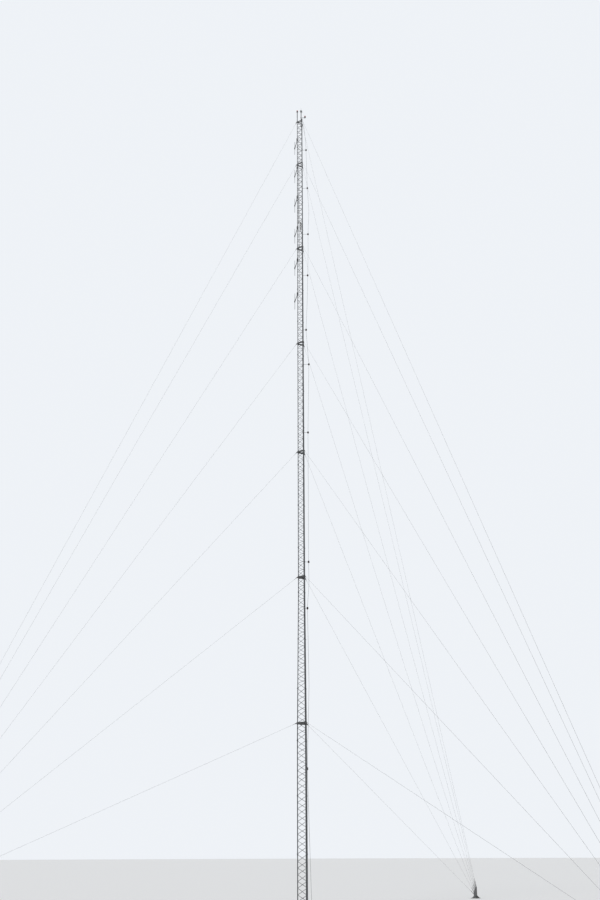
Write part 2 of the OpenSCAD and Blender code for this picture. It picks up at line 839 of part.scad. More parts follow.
left_lamp_z = mast_top + left_lamp_rise;
right_lamp_z = mast_top + right_lamp_rise;

module lamp_left() {
    color(steel)
    translate([leg_point(0, mast_top)[0], 0, 0]) {
        translate([0, 0, mast_top + top_t]) cylinder(d = pole_foot_d, h = flange_t, $fn = 32);
        translate([0, 0, mast_top + top_t])
        cylinder(d = pole_d, h = left_lamp_rise - top_t + 1, $fn = 32);
        translate([0, 0, left_lamp_z]) lamp_body();
    }
}

module lamp_right() {
    color(steel)
    union() {
        translate([rod_x, 0, right_lamp_z]) ring(pole_d, strap_t, strap_h);
        rod([rod_x + pole_d / 2 + clearance + strap_t / 2, 0, right_lamp_z],
            [right_lamp_x, 0, right_lamp_z], arm_d, 12);
        translate([right_lamp_x, 0, right_lamp_z - arm_d / 2]) lamp_body();
    }
}

module lamp_glasses() {
    color("#a01d14")
    for (p = [[leg_point(0, mast_top)[0], 0, left_lamp_z],
        [right_lamp_x, 0, right_lamp_z - arm_d / 2]])
        translate(p + [0, 0, lamp_base_h])
        lamp_glass();
}

base_plate();
mast_section(0);  // mast_section_01
mast_section(1);  // mast_section_02
mast_section(2);  // mast_section_03
mast_section(3);  // mast_section_04
mast_section(4);  // mast_section_05
mast_section(5);  // mast_section_06
mast_section(6);  // mast_section_07
mast_section(7);  // mast_section_08
mast_section(8);  // mast_section_09
mast_section(9);  // mast_section_10
mast_section(10);  // mast_section_11
mast_section(11);  // mast_section_12
mast_section(12);  // mast_section_13
mast_section(13);  // mast_section_14
mast_section(14);  // mast_section_15
mast_section(15);  // mast_section_16
mast_section(16);  // mast_section_17
mast_section(17);  // mast_section_18
mast_section(18);  // mast_section_19
mast_section(19);  // mast_section_20
guy_collars();
top_frame();
guys(0);  // guys_left
guys(1);  // guys_front
guys(2);  // guys_rear
turnbuckles(0);  // turnbuckles_left
turnbuckles(1);  // turnbuckles_front
turnbuckles(2);  // turnbuckles_rear
guy_anchor(0);  // guy_anchor_left
guy_anchor(1);  // guy_anchor_front
guy_anchor(2);  // guy_anchor_rear
dipole_antenna(0);  // dipole_antenna_1
dipole_antenna(1);  // dipole_antenna_2
dipole_antenna(2);  // dipole_antenna_3
dipole_antenna(3);  // dipole_antenna_4
dipole_antenna(4);  // dipole_antenna_5
dipole_antenna(5);  // dipole_antenna_6
feeder_cable();
feeder_clamps();
power_divider();
branch_cables();
standoff_arms();
standoff_insulators();
down_conductor();
lightning_rod();
lamp_left();
lamp_right();
lamp_glasses();
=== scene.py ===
import bpy
import bmesh
from math import acos, atan2, cos, degrees, pi, radians, sin, sqrt, tau
from mathutils import Matrix, Vector


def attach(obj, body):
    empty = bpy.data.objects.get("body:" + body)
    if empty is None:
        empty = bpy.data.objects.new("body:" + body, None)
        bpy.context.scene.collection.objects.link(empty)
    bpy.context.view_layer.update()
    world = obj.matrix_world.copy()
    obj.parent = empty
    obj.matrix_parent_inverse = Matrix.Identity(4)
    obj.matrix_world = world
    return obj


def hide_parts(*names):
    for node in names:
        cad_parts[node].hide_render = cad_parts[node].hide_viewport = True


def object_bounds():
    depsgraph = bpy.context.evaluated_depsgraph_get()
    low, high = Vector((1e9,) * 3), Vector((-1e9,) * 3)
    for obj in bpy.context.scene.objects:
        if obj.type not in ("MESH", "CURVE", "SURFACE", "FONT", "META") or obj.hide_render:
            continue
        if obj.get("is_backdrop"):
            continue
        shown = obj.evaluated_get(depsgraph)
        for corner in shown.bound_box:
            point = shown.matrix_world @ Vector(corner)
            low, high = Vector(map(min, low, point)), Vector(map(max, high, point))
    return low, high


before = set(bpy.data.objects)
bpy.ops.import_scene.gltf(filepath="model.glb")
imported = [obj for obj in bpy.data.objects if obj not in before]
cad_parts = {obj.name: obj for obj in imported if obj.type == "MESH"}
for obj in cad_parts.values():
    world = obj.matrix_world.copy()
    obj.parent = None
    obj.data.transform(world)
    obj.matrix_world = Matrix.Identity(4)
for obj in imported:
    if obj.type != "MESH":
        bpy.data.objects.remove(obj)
cad_box = [list(corner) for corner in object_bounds()]

# The studio: the camera stands where the photographer stood, a little above the
# mast's foot and looking steeply up it. A pale floor runs out to a pale backdrop,
# and one broad sun and the sky light the mast softly.
camera_distance, camera_azimuth, camera_height = 25.23, 3.0, 1.495
camera_pitch, camera_yaw, camera_roll = 26.51, -0.15, -0.21
focal_pixels, image_height, sensor = 812, 900, 36
view_depth = 1000
floor_radius, floor_rough = 400, 0.9
floor_colour = (0.72, 0.73, 0.74, 1)
backdrop_colour = (0.86, 0.89, 0.93, 1)
sky_light = 0.62
sun_light, sun_spread, sun_turn = 1.5, 14, (42, 8, -35)
scene = bpy.context.scene


def move(*to):
    return Matrix.Translation(to)


def turn(axis, angle):
    return Matrix.Rotation(angle, 4, axis)


def add_object(name, data):
    made = bpy.data.objects.new(name, data)
    scene.collection.objects.link(made)
    return made


def surface(name):
    """A new material and its node tree."""
    made = bpy.data.materials.new(name)
    made.use_nodes = True
    return made, made.node_tree


def feed(tree, node, inputs):
    """Sets a node's inputs to values or links them to other nodes' sockets."""
    for key, value in inputs.items():
        if isinstance(value, bpy.types.NodeSocket):
            tree.links.new(value, node.inputs[key])
        else:
            node.inputs[key].default_value = value


def add_node(tree, kind, inputs=None, **settings):
    made = tree.nodes.new("ShaderNode" + kind)
    for key, value in settings.items():
        setattr(made, key, value)
    feed(tree, made, inputs or {})
    return made


def maths(tree, operation, *values):
    return add_node(tree, "Math", dict(enumerate(values)), operation=operation).outputs[0]


camera = add_object("camera", bpy.data.cameras.new("camera"))
camera.data.sensor_fit = "VERTICAL"
camera.data.sensor_height = sensor
camera.data.lens = focal_pixels / image_height * sensor
camera.data.clip_end = view_depth
around = radians(camera_azimuth)
camera.matrix_world = (
    move(camera_distance * sin(around), -camera_distance * cos(around), camera_height)
    @ turn("Z", radians(camera_azimuth - camera_yaw)) @ turn("X", radians(90 + camera_pitch))
    @ turn("Z", radians(camera_roll)))
scene.camera = camera
scene.view_settings.view_transform = "Standard"

bm = bmesh.new()
bmesh.ops.create_circle(bm, cap_ends=True, segments=96, radius=floor_radius)
floor = add_object("floor", bpy.data.meshes.new("floor"))
bm.to_mesh(floor.data)
bm.free()
floor_paint, tree = surface("floor")
feed(tree, tree.nodes["Principled BSDF"], {"Base Color": floor_colour, "Roughness": floor_rough})
floor.data.materials.append(floor_paint)
floor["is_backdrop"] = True

scene.world = bpy.data.worlds.new("sky")
scene.world.use_nodes = True
tree = scene.world.node_tree
sky = tree.nodes["Background"]
feed(tree, sky, {"Color": (1, 1, 1, 1), "Strength": sky_light})
backdrop = add_node(tree, "Background", {"Color": backdrop_colour})
ray = add_node(tree, "LightPath").outputs
seen = maths(tree, "MAXIMUM", ray["Is Camera Ray"],
             maths(tree, "MAXIMUM", ray["Is Glossy Ray"], ray["Is Transmission Ray"]))
shown = add_node(tree, "MixShader", {"Fac": seen, 1: sky.outputs[0], 2: backdrop.outputs[0]})
feed(tree, tree.nodes["World Output"], {"Surface": shown.outputs[0]})

sun = add_object("sun", bpy.data.lights.new("sun", "SUN"))
sun.data.energy = sun_light
sun.data.angle = radians(sun_spread)
sun.rotation_euler = [radians(angle) for angle in sun_turn]

# Lattice sections: twenty welded lengths of galvanised steel, each with three leg
# tubes, zigzag rods on its three faces and a round flange on each leg end. Weld
# beads ring every rod where it meets a leg.
sections, heavy_sections, section_h = 20, 4, 1.5
base_t = 0.015
face_base, face_top = 0.3, 0.23
taper_z0 = base_t + 3 * section_h
taper_z1 = taper_z0 + 3 * section_h
leg_azimuth = [pi, -pi / 3, pi / 3]
leg_turn = [turn("Z", angle) for angle in leg_azimuth]
flange_t, flange_rim, flange_edge = 0.006, 0.011, 0.0008
bead_rise = 0.0028
crease = radians(35)
rust_dark, rust_light = (0.075, 0.03, 0.014), (0.235, 0.088, 0.032)


class Heavy:
    leg, rod, margin, panels = 0.028, 0.012, 0.014, 9


class Light:
    leg, rod, margin, panels = 0.026, 0.011, 0.012, 11


def ramp(tree, factor, *stops):
    """Colours between (place, colour) stops."""
    made = add_node(tree, "ValToRGB", {"Fac": factor})
    while len(made.color_ramp.elements) < len(stops):
        made.color_ramp.elements.new(0.5)
    for element, (place, colour) in zip(made.color_ramp.elements, stops):
        element.position = place
        element.color = (*colour, 1)
    return made.outputs["Color"]


def grey(value):
    return (value,) * 3


def noise(tree, scale, detail, roughness=0.5, stretch=None):
    """Noise over the Object coordinates, drawn out where stretch is given."""
    place = add_node(tree, "TexCoord").outputs["Object"]
    if stretch:
        place = add_node(tree, "Mapping", {"Vector": place, "Scale": stretch}).outputs[0]
    return add_node(tree, "TexNoise", {"Vector": place, "Scale": scale, "Detail": detail,
                                       "Roughness": roughness}).outputs["Fac"]


def spread(tree, *values):
    """Maps a socket from one range, low and high, to another."""
    return add_node(tree, "MapRange", dict(enumerate(values))).outputs[0]


def mix(tree, factor, a, b):
    return add_node(tree, "MixRGB", {"Fac": factor, "Color1": a, "Color2": b}).outputs[0]


def paint(made, metallic, colour, rough, height, strength, depth, more=None):
    """Wires up a material's shader: metal, colour, roughness and relief."""
    tree = made.node_tree
    relief = add_node(tree, "Bump", {"Height": height, "Strength": strength, "Distance": depth})
    feed(tree, tree.nodes["Principled BSDF"], {
        "Metallic": metallic, "Base Color": colour, "Roughness": rough,
        "Normal": relief.outputs["Normal"]} | (more or {}))
    return made


def galvanised(name, dark, light, rust, crystal=170):
    """Weathered zinc: crystals, rain streaks, dull cloudy patches, chalk and rust bloom."""
    made, tree = surface(name)
    cells = add_node(tree, "TexVoronoi", {
        "Vector": add_node(tree, "TexCoord").outputs["Object"], "Scale": crystal}).outputs
    tone = maths(tree, "MULTIPLY", cells["Color"], 0.28)
    tone = maths(tree, "MULTIPLY_ADD", noise(tree, 2.1, 5), 0.52, tone)
    tone = maths(tree, "MULTIPLY_ADD", noise(tree, 1, 4, stretch=(38, 38, 0.9)), 0.62, tone)
    middle = [a * 0.55 + b * 0.45 for a, b in zip(dark, light)]
    colour = ramp(tree, tone, (0.35, dark), (0.72, middle), (1, light))
    bloom = noise(tree, 11, 9, 0.66)
    chalk = ramp(tree, bloom, (0.3, grey(0.55)), (0.42, grey(0)))
    colour = mix(tree, chalk, colour, [c * 1.5 for c in light] + [1])
    patch = ramp(tree, bloom, (0.72 - rust, grey(0)), (0.8 - rust, grey(1)))
    speckle = noise(tree, 160, 3)
    rusty = ramp(tree, speckle, (0.35, rust_dark), (0.65, rust_light))
    return paint(made, 0.55, mix(tree, patch, colour, rusty),
                 spread(tree, tone, 0.3, 1.0, 0.62, 0.4),
                 maths(tree, "ADD", cells["Distance"], speckle), 0.25, 0.0006)


def aim(a, b):
    """Places +Z along the line from a to b, with the origin at a."""
    return move(*a) @ (Vector(b) - Vector(a)).to_track_quat("Z", "Y").to_matrix().to_4x4()


def cylinder(bm, radius, height, sides, place=Matrix(), caps=True):
    return bmesh.ops.create_cone(bm, cap_ends=caps, segments=sides, radius1=radius,
                                 radius2=radius, depth=height, matrix=place)


def bar(bm, a, b, radius, sides, caps=False):
    length = (Vector(b) - Vector(a)).length
    cylinder(bm, radius, length, sides, aim(a, b) @ move(0, 0, length / 2), caps)


def soften(bm, edges, offset, segments):
    bmesh.ops.bevel(bm, geom=edges, offset=offset, offset_type="OFFSET", affect="EDGES",
                    segments=segments, profile=0.5, material=-1)


def level(bm):
    return [e for e in bm.edges if abs(e.verts[0].co.z - e.verts[1].co.z) < 1e-6]


def lathe(bm, profile, steps, place=Matrix()):
    """Turns an outline of (radius, height) points about Z, its faces outward."""
    if sum((z1 - z0) * (r0 * r0 + r0 * r1 + r1 * r1)
           for (r0, z0), (r1, z1) in zip(profile, profile[1:])) < 0:
        profile = profile[::-1]
    closed = profile[0] == profile[-1]
    angles = [tau * step / steps for step in range(steps)]
    rings = []
    for r, z in profile[:-1] if closed else profile:
        ring = [bm.verts.new(place @ Vector((r * cos(a), r * sin(a), z)))
                for a in (angles if r else angles[:1])]
        rings.append(ring if r else ring * steps)
    rings += rings[:1] if closed else []
    for low, high in zip(rings, rings[1:]):
        for a, b, c, d in zip(low, low[1:] + low[:1], high[1:] + high[:1], high):
            corners = dict.fromkeys((a, b, c, d))
            if len(corners) > 2:
                bm.faces.new(corners)


def template(build):
    """A mesh made once by build(bm) and stamped many times."""
    bm = bmesh.new()
    build(bm)
    bmesh.ops.remove_doubles(bm, verts=bm.verts, dist=1e-6)
    made = bpy.data.meshes.new("template")
    bm.to_mesh(made)
    bm.free()
    return made


def stamp(bm, mesh, place=Matrix()):
    copy = mesh.copy()
    copy.transform(place)
    bm.from_mesh(copy)
    bpy.data.meshes.remove(copy)


def piece(bm, name, material, slot, *replaced):
    """Turns a bmesh into a piece of the mast that rides on its one body."""
    made = add_object(name, bpy.data.meshes.new(name))
    bm.to_mesh(made.data)
    bm.free()
    made.data.polygons.foreach_set("use_smooth", [True] * len(made.data.polygons))
    made.data.set_sharp_from_angle(angle=crease)
    made.data.materials.append(material)
    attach(made, "root")
    if replaced:
        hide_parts(*replaced)


def leg_radius(z):
    share = min(max((z - taper_z0) / (taper_z1 - taper_z0), 0), 1)
    return (face_base + (face_top - face_base) * share) / sqrt(3)


def leg_point(leg, z):
    return Vector((leg_radius(z) * cos(leg_azimuth[leg]), leg_radius(z) * sin(leg_azimuth[leg]), z))


def kind_at(z):
    return Heavy if z < base_t + heavy_sections * section_h else Light


def crossings(z):
    """The first crossing, the panel height and the panels of the section at z."""
    kind = kind_at(z)
    start = base_t + int((z - base_t) / section_h) * section_h
    return start + kind.margin, (section_h - 2 * kind.margin) / kind.panels, kind.panels


def rounded_disc(radius, thickness):
    @template
    def disc(bm):
        cylinder(bm, radius, thickness, 32)
        soften(bm, level(bm), flange_edge, 2)
    return disc


def weld_ring(radius):
    return template(lambda bm: lathe(bm, [
        (radius, bead_rise * 1.6), (radius + bead_rise * 0.6, bead_rise),
        (radius + bead_rise, 0), (radius + bead_rise * 1.1, -bead_rise * 2)], 12))


zinc = galvanised("lattice_zinc", (0.046, 0.049, 0.052), (0.12, 0.125, 0.13), 0.035)
for index in range(sections):
    z0 = base_t + index * section_h
    z1 = z0 + section_h
    kind = kind_at(z0 + section_h / 2)
    first, step, panels = crossings(z0 + section_h / 2)
    if index in (0, heavy_sections):
        flange = rounded_disc(kind.leg / 2 + flange_rim, flange_t)
        ring, leg_ring = weld_ring(kind.rod / 2), weld_ring(kind.leg / 2)
    bm = bmesh.new()
    for leg in range(3):
        foot, head = leg_point(leg, z0 + flange_t), leg_point(leg, z1 - flange_t)
        bar(bm, foot, head, kind.leg / 2, 24)
        for z in (z0 + flange_t / 2, z1 - flange_t / 2):
            stamp(bm, flange, move(*leg_point(leg, z)))
        stamp(bm, leg_ring, aim(foot, head))
        stamp(bm, leg_ring, aim(head, foot))
    for leg in range(3):
        for j in range(panels):
            pair = (leg, (leg + 1) % 3) if j % 2 == 0 else ((leg + 1) % 3, leg)
            a, b = (leg_point(end, first + (j + up) * step) for up, end in enumerate(pair))
            bar(bm, a, b, kind.rod / 2, 12)
            reach = kind.leg / 2 * (b - a).length / (b - a).xy.length
            along = (b - a).normalized()
            stamp(bm, ring, aim(a + along * reach, b))
            stamp(bm, ring, aim(b - along * reach, a))
    number = f"{index + 1:02d}"
    piece(bm, f"lattice_{number}", zinc, "lattice_steel", f"mast_section_{number}")

# Flange bolts: four hexagon bolts clamp every pair of leg flanges, with a round
# washer under each head and nut. The lowest flanges are bolted to the base plate
# and the highest ones to the top frame. Galvanised steel, with patches of rust.
mast_top = base_t + sections * section_h
top_t = 0.008
rod_x = 0.035
bolt_d, bolt_rim = 0.005, 0.0055
head_w, head_h, nut_h = 0.0085, 0.0036, 0.0045
washer_r, washer_t = 0.0052, 0.001


def hexagon(bm, width, height, z):
    """A hexagon prism with its outer end chamfered, standing on z."""
    made = cylinder(bm, width / sqrt(3), height, 6, move(0, 0, z + height / 2))
    top = {v for v in made["verts"] if v.co.z > z + height / 2}
    soften(bm, [e for e in bm.edges if top.issuperset(e.verts)], width * 0.07, 1)


def bolt_mesh(shank_d, grip, head=True):
    """A bolt along Z from a head below z = 0 to a nut above z = grip."""
    scale = shank_d / bolt_d
    under = washer_t * scale

    def washer(bm, z):
        cylinder(bm, washer_r * scale, under, 16, move(0, 0, z + under / 2))

    @template
    def lower(bm):
        if head:
            hexagon(bm, head_w * scale, head_h * scale, under)
        washer(bm, 0)

    @template
    def bolt(bm):
        stamp(bm, lower, turn("X", pi))
        washer(bm, grip)
        hexagon(bm, head_w * scale, nut_h * scale, grip + under)
        top = grip + (washer_t + nut_h) * scale
        thread = [(shank_d / 2, top - shank_d)]
        for ridge in range(4):
            z = top + ridge * shank_d * 0.15
            thread += [(shank_d * 0.5, z), (shank_d * 0.43, z + shank_d * 0.07)]
        lathe(bm, thread + [(0, thread[-1][1] + shank_d * 0.04)], 10)
    return bolt


def bolt_circle(bm, made, place, reach, start, count=4):
    """Bolts round place, where their heads bear from below."""
    for step in range(count):
        angle = start + step * tau / count
        stamp(bm, made, place @ move(cos(angle) * reach, sin(angle) * reach, 0))


bolt_zinc = galvanised("bolt_zinc", grey(0.075), grey(0.2), 0.1, 400)
flange_bolt = bolt_mesh(bolt_d, 2 * flange_t)
frame_bolt = bolt_mesh(bolt_d, flange_t + top_t)
pole_bolt = bolt_mesh(bolt_d, 2 * flange_t + top_t)
bm = bmesh.new()
for index in range(sections + 1):
    z = base_t + index * section_h
    reach = (kind_at(z - 0.1) if index else Heavy).leg / 2 + bolt_rim
    for leg in range(3):
        made = flange_bolt if index < sections else frame_bolt if leg else pole_bolt
        bolt_circle(bm, made, move(*leg_point(leg, z)) @ move(0, 0, -flange_t), reach,
                    leg_azimuth[leg])
bolt_circle(bm, frame_bolt, move(rod_x, 0, mast_top), Light.leg / 2 + bolt_rim, pi / 4)
piece(bm, "flange_bolts", bolt_zinc, "lattice_steel")

# Guy collars and top frame: welded channel frames that sit round the three legs
# and carry a lug at each corner for the guys. Each side is closed with two bolts,
# and beads of weld run along both edges of every lug.
collars, collar_z, collar_step = 6, 5.0, 4.5
channel_h, channel_w, channel_t = 0.058, 0.013, 0.004
lug_reach, lug_t = 0.013, 0.008
lug_weld, top_lug_weld, side_bolt_y = 0.009, 0.011, 0.035
clearance = 0.0003
top_lug_x, top_lug_drop = 0.04, 0.04
weld_size = 0.0035
leg_lean = (face_base - face_top) / sqrt(3) / (taper_z1 - taper_z0)


def lean_at(z):
    return leg_lean if taper_z0 < z < taper_z1 else 0


def collar_gap(z):
    return kind_at(z).leg / 2 + clearance + channel_h / 2 * lean_at(z)


def weld(bm, place, a, b, size=weld_size):
    """A rippled bead of weld from a to b, as they lie in place."""
    a, b = place @ Vector(a), place @ Vector(b)
    length = (b - a).length
    count = max(3, int(length / (size * 1.6)))
    profile = [(0, 0)]
    for ripple in range(count):
        z = length * ripple / count
        profile += [(size * 0.8, z + length / count * 0.15), (size, z + length / count * 0.6)]
    lathe(bm, profile + [(0, length)], 7, aim(a, b))


def dress(material, *nodes):
    """Gives nodes that no piece replaces their material."""
    for name in nodes:
        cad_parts[name].data.materials[0] = material


collar_zinc = galvanised("collar_zinc", (0.048, 0.05, 0.052), (0.135, 0.137, 0.138), 0.075)
weld_steel = galvanised("weld_steel", (0.06, 0.058, 0.056), (0.18, 0.176, 0.17), 0.12, 400)
side_bolt = bolt_mesh(0.008, channel_t)
bolts, welds = bmesh.new(), bmesh.new()
for index in range(collars):
    z = collar_z + index * collar_step
    root = leg_radius(z) + collar_gap(z) + channel_w
    wall = -leg_radius(z) / 2 - collar_gap(z)
    for turned in leg_turn:
        for side in (-1, 1):
            y = side * lug_t / 2
            for end in (z - channel_h * 0.4, z + channel_h * 0.4):
                weld(welds, turned, (root - lug_weld, y, end), (root, y, end))
            stamp(bolts, side_bolt, turned @ move(wall, side * side_bolt_y, z) @ turn("Y", -pi / 2))
piece(bolts, "collar_bolts", bolt_zinc, "bracket_steel")
root = leg_radius(mast_top) + top_lug_x
for turned in leg_turn:
    for y in (-lug_t / 2, lug_t / 2):
        weld(welds, turned, (root - top_lug_weld, y, mast_top), (root + top_lug_weld, y, mast_top))
piece(welds, "lug_welds", weld_steel, "bracket_steel")
dress(collar_zinc, "guy_collars", "top_frame")

# Guys: twenty-one ropes of galvanised steel wire, laid in six strands. A swaged
# sleeve holds each rope in a forged jaw at the collar and in the turnbuckle's
# stud at the anchor. A clevis pin with a split pin closes every jaw.
anchor_r = 12.0
fan_pitch, fan_slope, fan_z = 0.062, radians(35), 0.15
rope_d, rope_lay = 0.004, 0.03
sleeve_d, sleeve_l, sleeve_bands, rope_in = 0.009, 0.09, 6, 0.01
pin_d, pin_end, split_d = 0.009, 0.004, 0.0018
fork_throat, fork_block = 0.038, 0.012
fork_l = fork_throat + fork_block
cheek_w, cheek_t = 0.022, 0.005
cheek_y = lug_t / 2 + clearance + cheek_t / 2
buckle_gap, buckle_l = 0.014, 0.17
buckle_top = fork_l + buckle_gap + buckle_l


def rise(z):
    return Vector((0, 0, z))


def guy_head(index):
    if index == collars:
        return Vector((leg_radius(mast_top) + top_lug_x, 0, mast_top - top_lug_drop))
    z = collar_z + index * collar_step
    return Vector((leg_radius(z) + collar_gap(z) + channel_w + lug_reach, 0, z))


def guy_foot(index):
    return Vector((anchor_r + (index - 3) * fan_pitch * cos(fan_slope), 0,
                   fan_z + index * fan_pitch * sin(fan_slope)))


def towards(a, b):
    """Places +Z along a guy with the pins of its forks along Y."""
    return move(*a) @ turn("Y", atan2(b.x - a.x, b.z - a.z))


def tube(bm, points, radius, sides, start=(0, 1, 0)):
    """A round tube along points. Each vertex keeps its angle and its distance
    along the tube in the attribute lay, for patterns that follow the tube."""
    layers = bm.verts.layers.float_vector
    layer = layers.get("lay") or layers.new("lay")
    points = [Vector(p) for p in points]
    steps = [(b - a).normalized() for a, b in zip(points, points[1:])]
    bends = [(a + b).normalized() for a, b in zip(steps, steps[1:])]
    across, walked, rings = Vector(start), 0, []
    for index, (point, tangent) in enumerate(zip(points, [steps[0]] + bends + [steps[-1]])):
        across = (across - across.dot(tangent) * tangent).normalized()
        other = tangent.cross(across)
        walked += (point - points[index - 1]).length if index else 0
        rings.append([])
        for side in range(sides):
            x, y = cos(tau * side / sides), sin(tau * side / sides)
            vert = bm.verts.new(point + radius * (x * across + y * other))
            vert[layer] = (x, y, walked)
            rings[-1].append(vert)
    for low, high in zip(rings, rings[1:]):
        for side in range(sides):
            after = (side + 1) % sides
            bm.faces.new((low[side], low[after], high[after], high[side]))
    bm.faces.new(reversed(rings[0]))
    bm.faces.new(rings[-1])


def arc(x, y, radius, a0, a1, count=8):
    angles = [radians(a0 + (a1 - a0) * i / count) for i in range(count + 1)]
    return [(x + radius * cos(a), y + radius * sin(a)) for a in angles]


def plate(outline, thickness, edge=0.0008, segments=2):
    """A plate of the outline in X and Y, centred on z = 0, with rounded rims."""
    @template
    def made(bm):
        face = bm.faces.new([bm.verts.new((x, y, -thickness / 2)) for x, y in outline])
        pushed = bmesh.ops.extrude_face_region(bm, geom=[face])["geom"]
        moved = [v for v in pushed if isinstance(v, bmesh.types.BMVert)]
        bmesh.ops.translate(bm, verts=moved, vec=(0, 0, thickness))
        soften(bm, level(bm), edge, segments)
        bmesh.ops.recalc_face_normals(bm, faces=bm.faces)
    return made


def wire_rope(name, strands, lay, dark, light):
    """Strands of wire wound round each other, with painted shade in the grooves between them, a
    painted highlight on their crowns and patches of dirt.
    """
    made, tree = surface(name)
    along = add_node(tree, "Attribute", attribute_name="lay").outputs["Vector"]
    x, y, walked = add_node(tree, "SeparateXYZ", {0: along}).outputs
    phase = maths(tree, "MULTIPLY_ADD", walked, tau / lay, maths(tree, "ARCTAN2", y, x))
    wave = maths(tree, "SINE", maths(tree, "MULTIPLY", phase, strands / 2))
    crown = maths(tree, "ABSOLUTE", wave)
    fine = maths(tree, "SINE", maths(tree, "MULTIPLY", phase, -strands * 3.5))
    dirt = maths(tree, "MULTIPLY_ADD", noise(tree, 3.5, 6), 0.5, -0.25)
    # The colour follows the crowns: painted shade in the grooves between the strands and a painted
    # highlight on their crowns, shifted in patches by the dirt noise.
    colour = ramp(tree, maths(tree, "ADD", dirt, crown), (0.15, [c * 0.35 for c in dark]),
                  (0.6, dark), (1, light))
    return paint(made, 0.6, colour, 0.45, maths(tree, "MULTIPLY_ADD", fine, 0.12, crown),
                 1.0, 0.0012)


rope_steel = wire_rope("rope_steel", 6, rope_lay, (0.13, 0.135, 0.14), (0.26, 0.265, 0.27))
forged_steel = galvanised("forged_steel", (0.062, 0.063, 0.065), (0.17, 0.17, 0.175), 0.085, 400)
shoulder = [(cheek_w * 0.3, fork_l), (-cheek_w * 0.3, fork_l)]
root_y = fork_throat + fork_block * 0.5
cheek = plate(arc(0, 0, cheek_w / 2, 180, 360, 14) + [(cheek_w / 2, root_y)] + shoulder
              + [(-cheek_w / 2, root_y)], cheek_t, 0.0012)
crotch = plate([(-cheek_w / 2, fork_throat)] + arc(0, fork_throat - 0.004, 0.0045, 150, 30, 6)
               + [(cheek_w / 2, fork_throat)] + shoulder,
               2 * cheek_y + cheek_t - 0.001, 0.0005, 1)


@template
def fork(bm):
    """The jaw: two cheeks and their root, the clevis pin and its split pin."""
    upright = turn("X", pi / 2)
    for side in (-1, 1):
        stamp(bm, cheek, move(0, side * cheek_y, 0) @ upright)
    stamp(bm, crotch, upright)
    end = cheek_y + cheek_t / 2 + pin_end
    r = pin_d / 2
    lathe(bm, [(0, -end), (r * 1.32, -end), (r * 1.5, -end + 0.0006), (r * 1.5, -end + 0.003),
               (r, -end + 0.0032), (r, end - 0.0008), (r * 0.84, end), (0, end)], 20, upright)
    y, loop = end - 0.0016, 0.0034
    eye = [(loop * cos(tau * i / 10), y, 0.0062 + loop * sin(tau * i / 10)) for i in range(11)]
    tube(bm, [(0, y, -0.0075)] + eye[8:0:-1], split_d / 2, 6)


@template
def sleeve(bm):
    """A swaged sleeve with the bands that the press left on it."""
    profile = [(0, 0), (sleeve_d * 0.62, 0), (sleeve_d * 0.62, 0.006)]
    for band in range(sleeve_bands):
        z = 0.008 + band * (sleeve_l - 0.016) / sleeve_bands
        profile += [(sleeve_d / 2, z), (sleeve_d / 2, z + 0.008), (sleeve_d * 0.44, z + 0.01)]
    lathe(bm, profile + [(rope_d * 0.7, sleeve_l), (0, sleeve_l)], 16)


sides = ("left", "front", "rear")
for side, turned in zip(sides, leg_turn):
    ropes, fittings = bmesh.new(), bmesh.new()
    for index in range(collars + 1):
        head, foot = guy_head(index), guy_foot(index)
        down, up = turned @ towards(head, foot), turned @ towards(foot, head)
        low = buckle_top + buckle_gap + sleeve_l
        tube(ropes, [down @ rise(fork_l + sleeve_l - rope_in),
                     down @ rise((head - foot).length / 2), up @ rise(low - rope_in)],
             rope_d / 2, 12)
        stamp(fittings, fork, down)
        stamp(fittings, sleeve, down @ move(0, 0, fork_l - 0.001))
        stamp(fittings, sleeve, up @ move(0, 0, low) @ turn("X", pi))
    piece(ropes, f"guy_ropes_{side}", rope_steel, "guy_rope", f"guys_{side}")
    piece(fittings, f"guy_fittings_{side}", forged_steel, "turnbuckle_steel", f"guys_{side}")

# Turnbuckles: forged open bodies between two threaded studs, one of them part of
# the jaw on the anchor, the other of the rope's end. A wire through the body
# stops it from turning. Hot-dip galvanised.
boss_d, boss_h = 0.02, 0.022
strip_d, strip_x = 0.008, 0.01
stud_d, thread_pitch, thread_depth = 0.01, 0.0025, 0.0007
lock_wire_d = 0.0018


def thread(bm, z0, z1, radius):
    """A stud with a real thread, its outline swept round and along Z."""
    steps = 12
    inner, end = radius - thread_depth, z1 + thread_pitch
    columns = []
    for step in range(steps * max(1, round((z1 - z0) / thread_pitch)) + 1):
        around = turn("Z", tau * step / steps)
        columns.append([
            bm.verts.new(around @ Vector((r, 0, z0 + thread_pitch * (z + step / steps))))
            for r, z in ((inner, 0), (radius, 0.4), (radius, 0.6), (inner, 1))])
    for here, after in zip(columns, columns[1:]):
        for a, b, c, d in zip(here, after, after[1:], here[1:]):
            bm.faces.new((a, b, c, d))
    lathe(bm, [(0, z0), (inner, z0), (inner, end), (radius * 0.8, end + 0.0012),
               (0, end + 0.0012)], 12)


